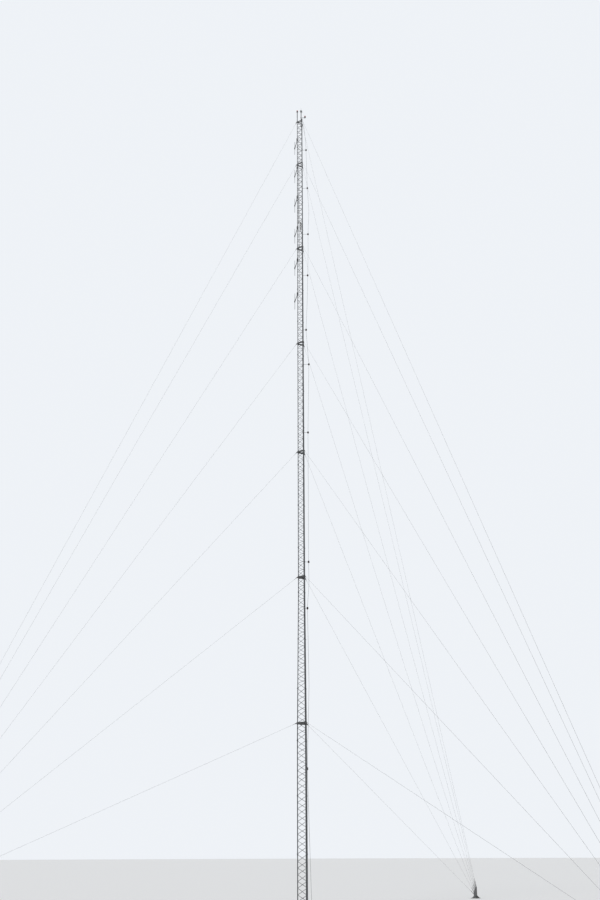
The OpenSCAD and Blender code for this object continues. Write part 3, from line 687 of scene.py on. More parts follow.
@template
def turnbuckle(bm):
    stamp(bm, fork)
    z0 = fork_l + buckle_gap
    z1 = z0 + buckle_l
    boss = [(stud_d / 2, 0), (boss_d * 0.42, 0), (boss_d / 2, boss_h * 0.15),
            (boss_d / 2, boss_h * 0.7), (boss_d * 0.4, boss_h), (stud_d / 2, boss_h)]
    lathe(bm, [(r, z0 + z) for r, z in boss], 20)
    lathe(bm, [(r, z1 - z) for r, z in boss], 20)
    for side in (-1, 1):
        lathe(bm, [(strip_d * 0.35, z0 + boss_h * 0.3), (strip_d / 2, z0 + boss_h * 0.8),
                   (strip_d * 0.46, z0 + buckle_l / 2), (strip_d / 2, z1 - boss_h * 0.8),
                   (strip_d * 0.35, z1 - boss_h * 0.3)], 12, move(side * strip_x, 0, 0))
    low, high = z0 + boss_h, z1 - boss_h
    thread(bm, fork_l + 0.002, low + 0.012, stud_d / 2)
    thread(bm, high - 0.014, z1 + buckle_gap - 0.003, stud_d / 2)
    tube(bm, [(0, -cheek_y, fork_throat + 0.004), (0.011, -0.013, z0), (0.012, -0.008, low + 0.01),
              (0.004, 0, low + 0.035), (-0.004, 0.002, low + 0.055),
              (-0.012, 0.006, z0 + buckle_l / 2), (-0.004, 0.004, high - 0.035)],
         lock_wire_d / 2, 6)


for side, turned in zip(sides, leg_turn):
    bm = bmesh.new()
    for index in range(collars + 1):
        stamp(bm, turnbuckle, turned @ towards(guy_foot(index), guy_head(index)))
    piece(bm, f"turnbuckle_set_{side}", forged_steel, "turnbuckle_steel", f"turnbuckles_{side}")

# Guy anchors: a fan plate welded upright on a foot plate between three gussets.
# Every seam has a bead of weld, and four bolts with nuts and washers hold the
# foot. Galvanised after welding, with patches of rust.
foot_l, foot_w, foot_t = 0.34, 0.26, 0.014
fan_rim = 0.024
gusset_x, gusset_t, gusset_h = 0.14, 0.008, 0.09
foot_bolt_r, foot_bolt_d = 0.14, 0.012
anchor_steel = galvanised("anchor_steel", (0.075, 0.076, 0.077), (0.205, 0.207, 0.205), 0.1, 130)
foot_bolt = bolt_mesh(foot_bolt_d, 0.0, head=False)
for side, turned in zip(sides, leg_turn):
    bm = bmesh.new()
    on_foot = turned @ move(anchor_r, 0, foot_t)
    bolt_circle(bm, foot_bolt, on_foot, foot_bolt_r, pi / 4)
    reach = foot_l / 2 - fan_rim
    for face in (-1, 1):
        y = face * lug_t / 2
        weld(bm, on_foot, (-reach, y, 0), (reach, y, 0))
        for middle in (-gusset_x, 0, gusset_x):
            for x in (middle - gusset_t / 2, middle + gusset_t / 2):
                weld(bm, on_foot, (x, y, 0), (x, face * (foot_w / 2 - fan_rim), 0))
                weld(bm, on_foot, (x, y, 0), (x, y, gusset_h - foot_t / 2))
    piece(bm, f"anchor_bolts_{side}", weld_steel, "anchor_steel")
    dress(anchor_steel, f"guy_anchor_{side}")

# Broadcast dipoles: six upright half-wave dipoles on booms from the left leg.
# Drawn aluminium tube with moulded feed boxes, capped ends and a matching rod, in
# a cast clamp closed by two bolts. A steel plate with two hoop bolts steadies it.
bays, bay_z, bay_step = 6, 20.8, 1.632
boom_azimuth, boom_l, boom_d = radians(106), 0.51, 0.018
dipole_l, dipole_d = 0.75, 0.014
feed_l, feed_w, feed_h = 0.044, 0.036, 0.064
feed_corner, feed_seam = 0.007, 0.0012
match_d, match_l = 0.006, 0.2
clamp_wall, clamp_land, clamp_h, clamp_slit = 0.008, 0.003, 0.046, 0.005
ear_t, ear_l = 0.007, 0.018
clamp_r = Light.leg / 2 + clamp_wall
clamp_play = 0.018
bracket_x = clamp_r + 0.0065
bracket_h, bracket_w, bracket_t, bracket_cut = 0.15, 0.06, 0.005, 0.012
block_x, block_w, block_h = 0.0125, 0.022, 0.01
hoop_r, hoop_d, hoop_z = Light.leg / 2 + 0.0033, 0.006, 0.0455
to_x, to_y = turn("Y", pi / 2), turn("X", -pi / 2)


def panel_middle(z):
    first, step, panels = crossings(z)
    return first + (min(max(int((z - first) // step), 0), panels - 1) + 0.5) * step


def clear_z(z):
    """The nearest height to z at which a clamp on a leg is clear of the bracing."""
    middle = panel_middle(z)
    return min(max(z, middle - clamp_play), middle + clamp_play)


def aluminium(name, dark, light):
    """Drawn tube gone dull: fine lines along it, chalky patches and water marks."""
    made, tree = surface(name)
    drawn = noise(tree, 1, 3, stretch=(260, 260, 6))
    chalk = noise(tree, 9, 8, 0.62)
    tone = maths(tree, "MULTIPLY_ADD", drawn, 0.35, chalk)
    return paint(made, 0.6, ramp(tree, tone, (0.5, dark), (0.68, light), (0.95, dark)),
                 spread(tree, chalk, 0.35, 0.7, 0.42, 0.68), drawn, 0.15, 0.0003)


def moulded(name, dark, light, fine, roughness):
    """Weathered moulding: chalked patches, dust and a fine texture."""
    made, tree = surface(name)
    cloud = noise(tree, 14, 7, 0.6)
    return paint(made, 0, ramp(tree, cloud, (0.36, dark), (0.62, light)),
                 spread(tree, cloud, 0.35, 0.65, roughness - 0.1, roughness + 0.15),
                 noise(tree, fine, 4), 0.2, 0.0004)


def rounded_box(length, width, height, corner, rim):
    """A box with rounded upright edges and softer rims, centred on the origin."""
    outline = []
    for quarter, (sx, sy) in enumerate(((1, 1), (-1, 1), (-1, -1), (1, -1))):
        outline += arc(sx * (length / 2 - corner), sy * (width / 2 - corner), corner,
                       quarter * 90, quarter * 90 + 90, 5)
    return plate(outline, height, rim, 3)


def stamped(mesh, place):
    bm = bmesh.new()
    stamp(bm, mesh, place)
    return bm


def block(bm, place, *size):
    bmesh.ops.create_cube(bm, size=1, matrix=place @ Matrix.Diagonal((*size, 1)))


def cuff(bm, place, radius, wall, half, edge=0.001, steps=20):
    """A low collar round Z, bevelled at both ends."""
    lathe(bm, [(radius, -half), (radius + wall, edge - half), (radius + wall, half - edge),
               (radius, half)], steps, place)


tube_metal = aluminium("antenna_tube", (0.042, 0.043, 0.046), (0.105, 0.108, 0.112))
box_plastic = moulded("feed_box_plastic", (0.034, 0.036, 0.039), (0.085, 0.089, 0.093), 900, 0.6)
ear_x, ear_y, bore_r = -clamp_r - ear_l, clamp_slit / 2, Light.leg / 2 + clearance
clamp_outline = (
    [(clamp_r + 0.006, clearance), (clamp_r + 0.006, boom_d / 2 + clamp_land)]
    + arc(0, 0, clamp_r, 12, 164, 22)
    + [(-clamp_r, ear_y + ear_t), (ear_x, ear_y + ear_t), (ear_x, ear_y), (-0.0135, ear_y)]
    + arc(0, 0, bore_r, 164, 4, 20) + [(bore_r, clearance)])
clamp_bolt = bolt_mesh(0.006, clamp_slit + 2 * ear_t)
box_body = rounded_box(feed_l, feed_w, feed_h * 0.62, feed_corner, 0.0025)
box_lid = rounded_box(feed_l + 0.002, feed_w + 0.002, feed_h * 0.38 - feed_seam, feed_corner,
                      0.003)
small_bolt = bolt_mesh(0.003, 0.0)
hoop_nut = bolt_mesh(hoop_d, 0.0, head=False)
at_box = move(boom_l, 0, 0)


@template
def antenna_tubes(bm):
    for side in (1, -1):
        stamp(bm, plate([(x, side * y) for x, y in clamp_outline], clamp_h, 0.001))
    r = boom_d / 2
    lathe(bm, [(r - 0.002, clamp_r - 0.001), (r, clamp_r), (r, boom_l - feed_l / 2)], 24, to_x)
    lathe(bm, [(r + 0.0022, clamp_r + 0.004), (r + 0.0035, clamp_r + 0.0065),
               (r, clamp_r + 0.01)], 20, to_x)
    r, half = dipole_d / 2, dipole_l / 2
    for end in (0, pi):
        lathe(bm, [(r, feed_h / 2), (r, half - 0.012), (r + 0.002, half - 0.011),
                   (r + 0.002, half - 0.003), (r, half - 0.0005), (0, half)], 20,
              at_box @ turn("X", end))
    x, top = boom_l + feed_l / 2 - match_d, match_l - 0.001
    tube(bm, [(x, 0, feed_h / 2), (x, 0, top - 0.003), (x - 0.004, 0, top), (boom_l, 0, top)],
         match_d / 2, 10)
    cuff(bm, move(boom_l, 0, top), r, 0.0022, 0.007)


@template
def antenna_feed(bm):
    stamp(bm, box_body, at_box @ move(0, 0, -feed_h * 0.19))
    stamp(bm, box_lid, at_box @ move(0, 0, feed_h * 0.31 + feed_seam / 2))
    r, end = dipole_d / 2, feed_h / 2
    boot = [(r + 0.007, end - 0.001), (r + 0.006, end + 0.003)]
    for rib in range(4):
        z = end + 0.004 + rib * 0.0042
        boot += [(r + 0.0045, z), (r + 0.0045, z + 0.0022), (r + 0.003, z + 0.003)]
    for half_turn in (0, pi):
        lathe(bm, boot + [(r, end + 0.0215)], 20, at_box @ turn("X", half_turn))


@template
def antenna_bolts(bm):
    for z in (-0.013, 0.013):
        stamp(bm, clamp_bolt, move(ear_x + 0.009, -ear_y - ear_t, z) @ to_y)
    for sx in (-1, 1):
        for sy in (-1, 1):
            stamp(bm, small_bolt,
                  move(boom_l + sx * feed_l * 0.36, sy * feed_w * 0.33, feed_h / 2 - 0.003))


@template
def bracket(bm):
    """The plate across the boom's root and its two hoops, centred on a panel."""
    a, b = bracket_h / 2, bracket_w / 2
    corner = [(a, b - bracket_cut), (a - bracket_cut, b)]
    outline = corner + [(-x, y) for x, y in corner[::-1]]
    outline += [(-x, -y) for x, y in outline]
    stamp(bm, plate(outline, bracket_t), move(bracket_x + bracket_t / 2, 0, 0) @ to_x)
    end = bracket_x + bracket_t
    for z in (-hoop_z, hoop_z):
        bend = [(end + 0.003, hoop_r)] + arc(0, 0, hoop_r, 90, 270, 12) + [(end + 0.003, -hoop_r)]
        tube(bm, [(x, y, z) for x, y in bend], hoop_d / 2, 8, (0, 0, 1))
        block(bm, move((bracket_x + block_x) / 2, 0, z), bracket_x - block_x, block_w, block_h)
        for y in (-hoop_r, hoop_r):
            stamp(bm, hoop_nut, move(end, y, z) @ to_x)


for index in range(bays):
    height = clear_z(bay_z + index * bay_step)
    place = move(*leg_point(0, height)) @ turn("Z", boom_azimuth)
    for name, mesh, material in (("tubes", antenna_tubes, tube_metal),
                                 ("feed_box", antenna_feed, box_plastic),
                                 ("bolts", antenna_bolts, bolt_zinc)):
        piece(stamped(mesh, place), f"antenna_{index + 1}_{name}", material, "antenna_metal",
              f"dipole_antenna_{index + 1}")
    bm = stamped(bracket, move(0, 0, panel_middle(height) - height) @ place)
    r = boom_d / 2
    lathe(bm, [(r + 0.0035, 0), (r + 0.0012, 0.0028), (r, 0.0035)], 20,
          place @ move(bracket_x + bracket_t, 0, 0) @ to_x)
    piece(bm, f"antenna_{index + 1}_bracket", collar_zinc, "bracket_steel")

# Feeder: one thick coaxial cable in a black polythene jacket, from a connector
# near the foot to the power divider. Strapped inside the front right leg by
# fifteen steel clamps, each closed by two bolts.
feeder_d, feeder_turn, feeder_straps = 0.022, 0.24, 15
divider_z, divider_l, divider_d = 23.96, 0.4, 0.036
connector_d, connector_h = 0.036, 0.024
strap_h, strap_bolt_z = 0.016, 0.0042
feeder_in = max(feeder_d + Heavy.rod, (Heavy.leg + feeder_d) / 2 + flange_rim) + 4 * clearance
feeder_z0 = clear_z(base_t + 0.12)


def feeder_point(z):
    return leg_turn[1] @ Vector((leg_radius(z) - feeder_in, 0, z))


def rounded(points, bend, steps=8):
    """The path with its corners rounded off over the length bend."""
    points = [Vector(p) for p in points]
    path = [points[0]]
    for before, corner, after in zip(points, points[1:], points[2:]):
        back, ahead = before - corner, after - corner
        cut = min(bend, back.length / 2.1, ahead.length / 2.1)
        a, b = corner + back.normalized() * cut, corner + ahead.normalized() * cut
        for t in [step / steps for step in range(steps + 1)]:
            path.append((1 - t) ** 2 * a + 2 * t * (1 - t) * corner + t * t * b)
    return path + [points[-1]]


def coupling(bm, place, body_d, height, cable_d):
    """A knurled coupling nut, 0 at its foot, with a shrink boot over the cable."""
    outline = [(0.44, 0), (0.5, 0.12), (0.5, 0.3), (0.47, 0.36), (0.47, 0.64), (0.5, 0.7),
               (0.5, 0.9), (0.44, 1)]
    lathe(bm, [(cable_d * 0.48, 0)] + [(body_d * r, height * z) for r, z in outline]
          + [(cable_d * 0.48, height)], 24, place)
    for tooth in range(24):
        cylinder(bm, body_d * 0.03, height * 0.5, 4,
                 place @ turn("Z", tau * tooth / 24) @ move(body_d * 0.468, 0, height / 2))


def jacket(name, dark, light, roughness):
    """Extruded cable jacket: slight waves, dust streaks and scuffs."""
    made, tree = surface(name)
    dust = noise(tree, 1, 6, stretch=(60, 60, 2.2))
    return paint(made, 0, ramp(tree, dust, (0.42, dark), (0.72, light)),
                 spread(tree, dust, 0.4, 0.7, roughness - 0.12, roughness + 0.2),
                 noise(tree, 70, 3), 0.25, 0.0008)


black_jacket = jacket("black_jacket", (0.012, 0.012, 0.013), (0.05, 0.05, 0.048), 0.48)
plated = aluminium("plated_metal", (0.07, 0.068, 0.062), (0.18, 0.175, 0.16))
route = [feeder_point(z) for z in (feeder_z0, taper_z0, taper_z1, divider_z - feeder_turn)]
route += [rise(divider_z - feeder_turn / 3), rise(divider_z - connector_h / 2)]
bm = bmesh.new()
tube(bm, rounded(route, feeder_turn / 3, 10), feeder_d / 2, 24)
piece(bm, "feeder", black_jacket, "cable_jacket", "feeder_cable")
bm = bmesh.new()
low_end = move(*feeder_point(feeder_z0)) @ move(0, 0, 0.001 - connector_h)
coupling(bm, low_end, connector_d, connector_h, feeder_d)
lathe(bm, [(0, 0), (0.0045, 0), (0.006, 0.001), (feeder_d * 0.4, 0.002),
           (feeder_d * 0.45, 0.004)], 20, low_end)
coupling(bm, move(0, 0, divider_z - connector_h), connector_d, connector_h, feeder_d)
piece(bm, "feeder_connectors", plated, "divider_metal", "feeder_cable")
strap_bolt = bolt_mesh(0.004, strap_h)
bm = bmesh.new()
for index in range(feeder_straps):
    z = clear_z(base_t + (index + 0.5) * section_h)
    at_strap = (leg_turn[1] @ move(leg_radius(z) - feeder_in / 2 - 0.0005, 0, z)
                @ turn("Y", -lean_at(z)))
    for side in (-1, 1):
        stamp(bm, strap_bolt, at_strap @ move(0, -strap_h / 2, side * strap_bolt_z) @ to_y)
piece(bm, "strap_bolts", bolt_zinc, "bracket_steel")
dress(collar_zinc, "feeder_clamps")

# Power divider and branch cables: a plated brass tube that splits the feeder's
# power between six threaded ports, held to the legs by flat brackets. A thin
# black cable runs from each port down or up the left leg to a dipole's feed box.
port_first, port_step, port_d, port_l = 0.05, 0.06, 0.011, 0.014
branch_d, branch_near, branch_pitch, branch_bend = 0.008, 0.045, 0.01, 0.03
boom_join, bays_below = 0.16, 3
tie_wall, tie_gap, link_r = 0.0012, 0.4, 0.0016
face_turn = turn("Z", radians(30))
boom_turn = turn("Z", boom_azimuth)


def face_point(s, n, z):
    """A point s along the rear left face from the left leg and n outside it."""
    return leg_point(0, z) + face_turn @ Vector((s, n, 0))


def pass_z(z):
    """The nearest height to z where a cable passes between the bracing rods."""
    first, step, panels = crossings(z)
    return first + min(max(2 * round((z - first) / step / 2), 0), panels - 1) * step


bm = bmesh.new()
half = [(0, -0.002), (divider_d * 0.4, -0.002), (divider_d / 2 + 0.0012, 0.0005)]
rim = [(divider_d / 2 + 0.002, 0.0015), (divider_d / 2 + 0.002, 0.0045), (divider_d / 2, 0.006)]
lathe(bm, half + rim + [(r, divider_l - z) for r, z in rim[::-1]]
      + [(divider_d / 2, divider_l), (0, divider_l)], 32, move(0, 0, divider_z))
for index in range(bays):
    port = (move(0, 0, divider_z + port_first + index * port_step) @ turn("Z", radians(120))
            @ to_x @ move(0, 0, divider_d / 2 - 0.001))
    lathe(bm, [(port_d * 0.62, 0), (port_d * 0.62, 0.002), (port_d * 0.45, 0.0022),
               (port_d * 0.45, port_l)], 16, port)
    coupling(bm, port @ move(0, 0, 0.004), port_d * 1.15, port_l - 0.003, branch_d)
piece(bm, "divider_tube", plated, "divider_metal")
bm, ties = bmesh.new(), bmesh.new()
tie = template(lambda bm: cuff(bm, Matrix(), branch_d / 2, tie_wall, 0.0024, 0.0004, 12))
inner = -Light.rod / 2 - branch_d / 2 - clearance
port_n = divider_d / 2 + port_l - leg_radius(divider_z) / 2
offset = boom_d / 2 + branch_d / 2 + clearance
for index in range(bays):
    z = clear_z(bay_z + index * bay_step)
    out = pass_z(z)
    port_z = divider_z + port_first + index * port_step
    place = bays_below - 1 - index if index < bays_below else index - bays_below
    s = branch_near + place * branch_pitch
    way = branch_bend if out > port_z else -branch_bend
    start, end = (leg_point(0, z) + boom_turn @ Vector((x, -offset, 0))
                  for x in (boom_join, boom_l - feed_l / 2))
    across = boom_turn @ Vector((0, 2 * offset, 0))
    tube(bm, rounded([face_point(face_top / 2, port_n + 2 * clearance, port_z),
                      face_point(face_top / 2 - clearance, port_n / 2 + inner / 2, port_z),
                      face_point(s + branch_bend / 4, inner, port_z + way / 2),
                      face_point(s, inner, port_z + way * 1.5), face_point(s, inner, out),
                      face_point(s, branch_bend * 1.5, out), start, end], branch_bend),
         branch_d / 2, 14, (0, 0, 1))
    for share in (0.05, 0.35, 0.65, 0.95):
        spot = start.lerp(end, share)
        stamp(ties, tie, aim(spot, end + (end - start)))
        bar(ties, spot + across, spot, link_r, 6, True)
    for knot in range(int((abs(out - port_z) - branch_bend * 3) / tie_gap)):
        up = way * 2 + (tie_gap if way > 0 else -tie_gap) * knot
        stamp(ties, tie, move(*face_point(s, inner, port_z + up)))
piece(bm, "branches", black_jacket, "cable_jacket", "branch_cables")
piece(ties, "cable_ties", black_jacket, "cable_jacket")
dress(plated, "power_divider")

# Stand-offs: steel arms clamped to the rear right leg, each holding a worn, brown
# glazed porcelain insulator by its waist. Each row is a height, a distance from
# the axis, an offset from the leg and the bow of the wire below.
standoffs = [(28.505, 0.232, 0, 0), (26.32, 0.271, 0, 0.05), (23.83, 0.281, 0, 0.01),
             (21.7, 0.253, 0, 0.01), (19.23, 0.174, 0, 0), (17.645, 0.263, 0, 0),
             (14.865, 0.212, 0, 0), (10.08, 0.195, 0, 0.03), (8.49, 0.147, 0, 0.05),
             (3.756, 0.104, 0.05, 0)]
insulator_r, insulator_h = 0.032, 0.038
waist_r, waist_h = 0.017, 0.007
wire_d, arm_d = 0.008, 0.009
ear_out, ear_gap = 0.0075, 0.0035
glaze_dark, glaze_light = (0.016, 0.006, 0.003), (0.05, 0.018, 0.009)
dust = (0.1, 0.088, 0.076, 1)
spots = []
for z, x, offset, bow in standoffs:
    z = clear_z(z)
    spots.append(Vector((x, leg_point(2, z).y + offset, z)))


@template
def insulator(bm):
    """Two rounded sheds on each side of the waist."""
    r, z0 = insulator_r, waist_h + clearance
    upper = [(waist_r, 0), (waist_r + 0.002, 0.05), (r - 0.003, 0.14), (r, 0.24), (r, 0.32),
             (r - 0.002, 0.4), (r * 0.72, 0.5), (r * 0.84, 0.58), (r * 0.86, 0.68),
             (r * 0.8, 0.78), (waist_r * 0.95, 0.9), (waist_r * 0.8, 0.99), (wire_d * 0.9, 1)]
    upper = [(r, z0 + share * (insulator_h - z0)) for r, share in upper]
    upper.append((wire_d / 2 + clearance, insulator_h - 0.002))
    lower = [(r, -z) for r, z in reversed(upper)]
    lathe(bm, lower + upper + [lower[0]], 36)


def ears(bm, place, gap, size, bolt):
    """The two ears of a clamp at place, closed by a bolt."""
    for side in (-gap, gap):
        block(bm, place @ move(0, side, 0), *size)
    stamp(bm, ring_bolt, place @ move(*bolt) @ to_y)


porcelain, tree = surface("brown_glaze")
glaze = noise(tree, 30, 5)
normal = add_node(tree, "NewGeometry").outputs["Normal"]
upward = add_node(tree, "SeparateXYZ", {0: normal}).outputs[2]
film = maths(tree, "MULTIPLY", upward, noise(tree, 120, 6))
glaze_colour = ramp(tree, glaze, (0.35, glaze_dark), (0.65, glaze_light))
paint(porcelain, 0, mix(tree, spread(tree, film, 0.15, 0.8, 0.0, 0.55), glaze_colour, dust),
      spread(tree, film, 0.1, 0.7, 0.22, 0.7), glaze, 0.12, 0.001,
      {"Specular IOR Level": 0.35, "Coat Weight": 0.15, "Coat Roughness": 0.12})
ring_bolt = bolt_mesh(0.004, 0.012)
bm, bolts = bmesh.new(), bmesh.new()
for spot in spots:
    stamp(bm, insulator, move(*spot))
    on_leg = leg_point(2, spot.z)
    leg_r = kind_at(spot.z).leg / 2
    along = spot - on_leg
    turned = turn("Z", atan2(along.y, along.x))
    for centre, reach in ((on_leg, -leg_r - ear_out), (spot, waist_r + ear_out)):
        ears(bolts, move(*centre) @ turned @ move(reach, 0, 0), ear_gap, (0.013, 0.003, 0.012),
             (0, -0.006, 0))
    for root, reach, size in ((on_leg, leg_r + 0.0032, 0.0058), (spot, -waist_r - 0.0032, 0.0052)):
        weld(bolts, move(*root) @ turned @ move(reach, 0, 0), (0, 0, -0.004), (0, 0, 0.004), size)
piece(bm, "insulators", porcelain, "porcelain", "standoff_insulators")
piece(bolts, "standoff_bolts", weld_steel, "bracket_steel")
dress(collar_zinc, "standoff_arms")

# Down conductor: a stranded steel wire from the lightning rod through all the
# insulators to the earth stud on the base plate, clamped at both ends.
pole_d = 0.032
wire_bend, wire_lead, wire_tail, wire_straight = 0.02, 0.7, 0.15, 0.042
wire_kink = Vector((0.155, 0.112, 1.98))
earth_stud = Vector((0.207, 0.06, base_t))
earth_lug = earth_stud + rise(0.01)
wire_path = [(rod_x + pole_d / 2 + clearance + wire_d / 4, 0, mast_top + 0.08 + wire_bend / 2),
             (rod_x + 0.05, 0.02, mast_top + 0.08), (0.13, 0.08, mast_top + 0.02),
             spots[0] + Vector((-1.5 * wire_bend, 0, wire_lead))]
for spot, after, (z, x, offset, bow) in zip(spots, spots[1:] + [None], standoffs):
    wire_path += [spot + rise(wire_straight), spot - rise(wire_straight)]
    if after:
        wire_path.append((spot + after) / 2 + Vector((bow, 0, 0)))
wire_path += [wire_kink, earth_lug + rise(wire_tail), earth_lug]
strand_wire = wire_rope("strand_wire", 6, 0.045, (0.12, 0.125, 0.13), (0.3, 0.31, 0.315))
bm = bmesh.new()
tube(bm, rounded(wire_path, wire_bend), wire_d / 2, 14)
piece(bm, "earth_wire", strand_wire, "conductor_wire", "down_conductor")
bm = bmesh.new()
lathe(bm, [(0.0066, 0), (0.007, 0.002), (0.007, 0.022), (0.0048, 0.026), (wire_d / 2, 0.026)],
      14, move(*earth_lug))
for z in (0.004, 0.014):
    lathe(bm, [(0.007, z), (0.0078, z + 0.001), (0.0078, z + 0.005), (0.007, z + 0.006)], 6,
          move(*earth_lug))
ears(bm, move(rod_x + pole_d / 2 + 0.005, 0, mast_top + 0.088), 0.0055, (0.014, 0.003, 0.018),
     (0.003, -0.007, -0.006))
cuff(bm, move(rod_x, 0, mast_top + 0.088), pole_d / 2, 0.003, 0.009)
piece(bm, "earth_clamps", bolt_zinc, "bracket_steel")

# Lightning rod: a galvanised pole, necked down to its bolted foot, with a turned
# head and rain skirt, its zinc darkened as painted shade. One upright point, forty fanned
# round the head in four rows and one lower on the right are all drawn to a taper and driven in.
rod_rise = 0.87
spike_l, spike_d, spike_root = 0.225, 0.006, 0.0105
side_spike, spike_rows = 0.064, [(12, -14), (12, 10), (10, 34), (6, 60)]
branch_spike, branch_spike_drop = Vector((0.075, 0, 0.015)), 0.1
rod_hub_d, rod_hub_h = 0.05, 0.036
skirt_d, skirt_h = 0.06, 0.02
pole_foot_d, neck_d, neck_h = 0.048, 0.024, 0.022
# The zinc of the rod, lamp pole, arm and guard is darker than galvanising: painted shade, so these
# parts read as dark as shaded steel.
shade_darkened_zinc = galvanised("shade_darkened_zinc", (0.045, 0.047, 0.049), (0.12, 0.123, 0.126), 0.05)


def spike(bm, a, b):
    """A point drawn from a stout root to a fine tip."""
    length = (b - a).length
    outline = [(0, 0), (spike_root / 2, 0), (spike_root * 0.48, 0.35), (spike_d / 2, 0.65),
               (spike_d * 0.3, 0.88), (0, 1)]
    lathe(bm, [(r, length * share) for r, share in outline], 12, aim(a, b))


def pole(bm, x, height):
    """A pole on a bolted foot, with a bead of weld round its lower end."""
    foot, neck, top = pole_foot_d / 2, neck_d / 2, height - top_t
    lathe(bm, [(0, 0), (foot - 0.0008, 0), (foot, 0.0008), (foot, flange_t - 0.0008),
               (foot - 0.0008, flange_t), (neck + 0.0018, flange_t),
               (neck + 0.0008, flange_t + 0.0024), (neck, flange_t + 0.003),
               (neck, flange_t + neck_h), (pole_d / 2, flange_t + neck_h * 1.5),
               (pole_d / 2, top), (0, top)], 24, move(x, 0, mast_top + top_t))


bm = bmesh.new()
pole(bm, rod_x, rod_rise - spike_l)
centre = Vector((rod_x, 0, mast_top + rod_rise - spike_l))
r, h = rod_hub_d, rod_hub_h
lathe(bm, [(pole_d / 2, -skirt_h * 0.7), (skirt_d * 0.47, -skirt_h), (skirt_d / 2, -skirt_h * 0.93),
           (skirt_d * 0.49, -skirt_h * 0.78), (r * 0.42, -0.001), (r / 2, h * 0.25),
           (r / 2, h * 0.75), (r * 0.4, h), (r * 0.24, h * 1.2), (0, h * 1.2)], 28,
      move(*centre - rise(h / 2)))
spike(bm, centre, centre + rise(spike_l))
for row, (count, slope) in enumerate(spike_rows):
    for point in range(count):
        out = turn("Z", tau * (point + row / 2) / count) @ turn("Y", -radians(slope))
        spike(bm, centre, centre + out @ Vector((side_spike, 0, 0)))
low_spike = centre - rise(branch_spike_drop)
spike(bm, low_spike, low_spike + branch_spike)
cuff(bm, move(*low_spike), pole_d / 2, 0.0025, 0.009)
piece(bm, "rod", shade_darkened_zinc, "rod_metal", "lightning_rod")

# Obstruction lamps: cast bodies in weathered grey paint with a gasket, four
# clips, a cable gland and a ribbed lens of red glass under a wire guard. One is
# on a pole over the left leg, the other on an arm to the right.
lamp_d, lamp_base_h, lamp_step, lamp_h, lamp_scale = 0.06, 0.03, 0.005, 0.055, 1.25
left_lamp_rise, right_lamp_rise, right_lamp_x = 0.6, 0.255, 0.205
left_x = leg_point(0, mast_top).x
arm_z = mast_top + right_lamp_rise
lens_r = lamp_d / 2 - lamp_step
dome_z = lamp_h - lens_r
lens_ribs, lens_t = 9, 0.003
guard_r = 0.0008


@template
def lamp_body(bm):
    r, step = lamp_d / 2, lamp_d / 2 - lamp_step
    lathe(bm, [(0, 0), (r * 0.45, 0), (r * 0.5, 0.002), (step - 0.004, 0.003), (step, 0.008),
               (step, 0.02), (r - 0.001, 0.024), (r, 0.025), (r, 0.0285), (r - 0.001, 0.03),
               (lens_r - 0.001, 0.03), (0, 0.029)], 40)
    for fin in range(8):
        block(bm, turn("Z", tau * (fin + 0.5) / 8) @ move(step, 0, 0.014), 0.005, 0.003, 0.018)
    lathe(bm, [(0.006, 0), (0.006, 0.003), (0.0045, 0.0032), (0.0045, 0.0045), (0, 0.0045)], 6,
          move(0, step, 0.012) @ to_y)


@template
def lamp_guard(bm):
    r = lens_r + 2 * guard_r
    bend = arc(0, dome_z - 2 * guard_r, r, 0, 90, 9)
    for wire in range(4):
        turned = turn("Z", tau * (wire + 0.5) / 4)
        tube(bm, [turned @ Vector((x, 0, z)) for x, z in [(r, -0.004)] + bend], guard_r, 6,
             (0.3, 0.2, 0.9))
        block(bm, turned @ move(lamp_d / 2 - 0.0012, 0, -0.002), 0.0024, 0.008, 0.009)


@template
def lens(bm):
    profile = [(lens_r - lens_t, -0.0008), (lens_r - 0.0008, -0.0008)]
    rib = dome_z / lens_ribs
    for z in [dome_z * ring / lens_ribs for ring in range(lens_ribs)]:
        profile += [(lens_r - 0.0012, z + rib * 0.1), (lens_r, z + rib * 0.55),
                    (lens_r - 0.0003, z + rib * 0.9)]
    profile += arc(0, dome_z, lens_r, 6, 86, 10)
    inner = [(r - lens_t, z) for r, z in profile[2:-1:2] if r > 0.004]
    lathe(bm, profile + [(0, lamp_h), (0, lamp_h - lens_t)] + inner[::-1] + [profile[0]], 40)


@template
def filament(bm):
    lathe(bm, [(0, -0.001), (0.008, -0.001), (0.008, 0.01), (0.006, 0.012), (0.009, 0.02),
               (0.01, 0.028), (0.006, 0.036), (0, 0.038)], 20)


lamp_paint = moulded("lamp_paint", (0.055, 0.058, 0.06), (0.125, 0.128, 0.13), 700, 0.45)
red_glass, tree = surface("red_glass")
red = ramp(tree, noise(tree, 60, 3), (0.3, (0.42, 0.006, 0.004)), (0.7, (0.75, 0.02, 0.01)))
grime = noise(tree, 90, 6)
paint(red_glass, 0, red, spread(tree, grime, 0.4, 0.75, 0.06, 0.5), grime, 0.06, 0.0006,
      {"Transmission Weight": 0.55, "IOR": 1.5})
glasses, bulbs = bmesh.new(), bmesh.new()
for side, x, z in (("left", left_x, mast_top + left_lamp_rise),
                   ("right", right_lamp_x, arm_z - arm_d / 2)):
    place = move(x, 0, z) @ Matrix.Scale(lamp_scale, 4)
    on_rim = place @ move(0, 0, lamp_base_h)
    piece(stamped(lamp_body, place), f"lamp_body_{side}", lamp_paint, "lamp_housing",
          f"lamp_{side}")
    piece(stamped(lamp_guard, on_rim), f"lamp_guard_{side}", shade_darkened_zinc, "lamp_housing")
    stamp(glasses, lens, on_rim)
    stamp(bulbs, filament, on_rim)
piece(glasses, "lamp_lenses", red_glass, "lamp_glass", "lamp_glasses")
piece(bulbs, "lamp_bulbs", box_plastic, "lamp_glass")
bm = bmesh.new()
pole(bm, left_x, left_lamp_rise + 0.001)
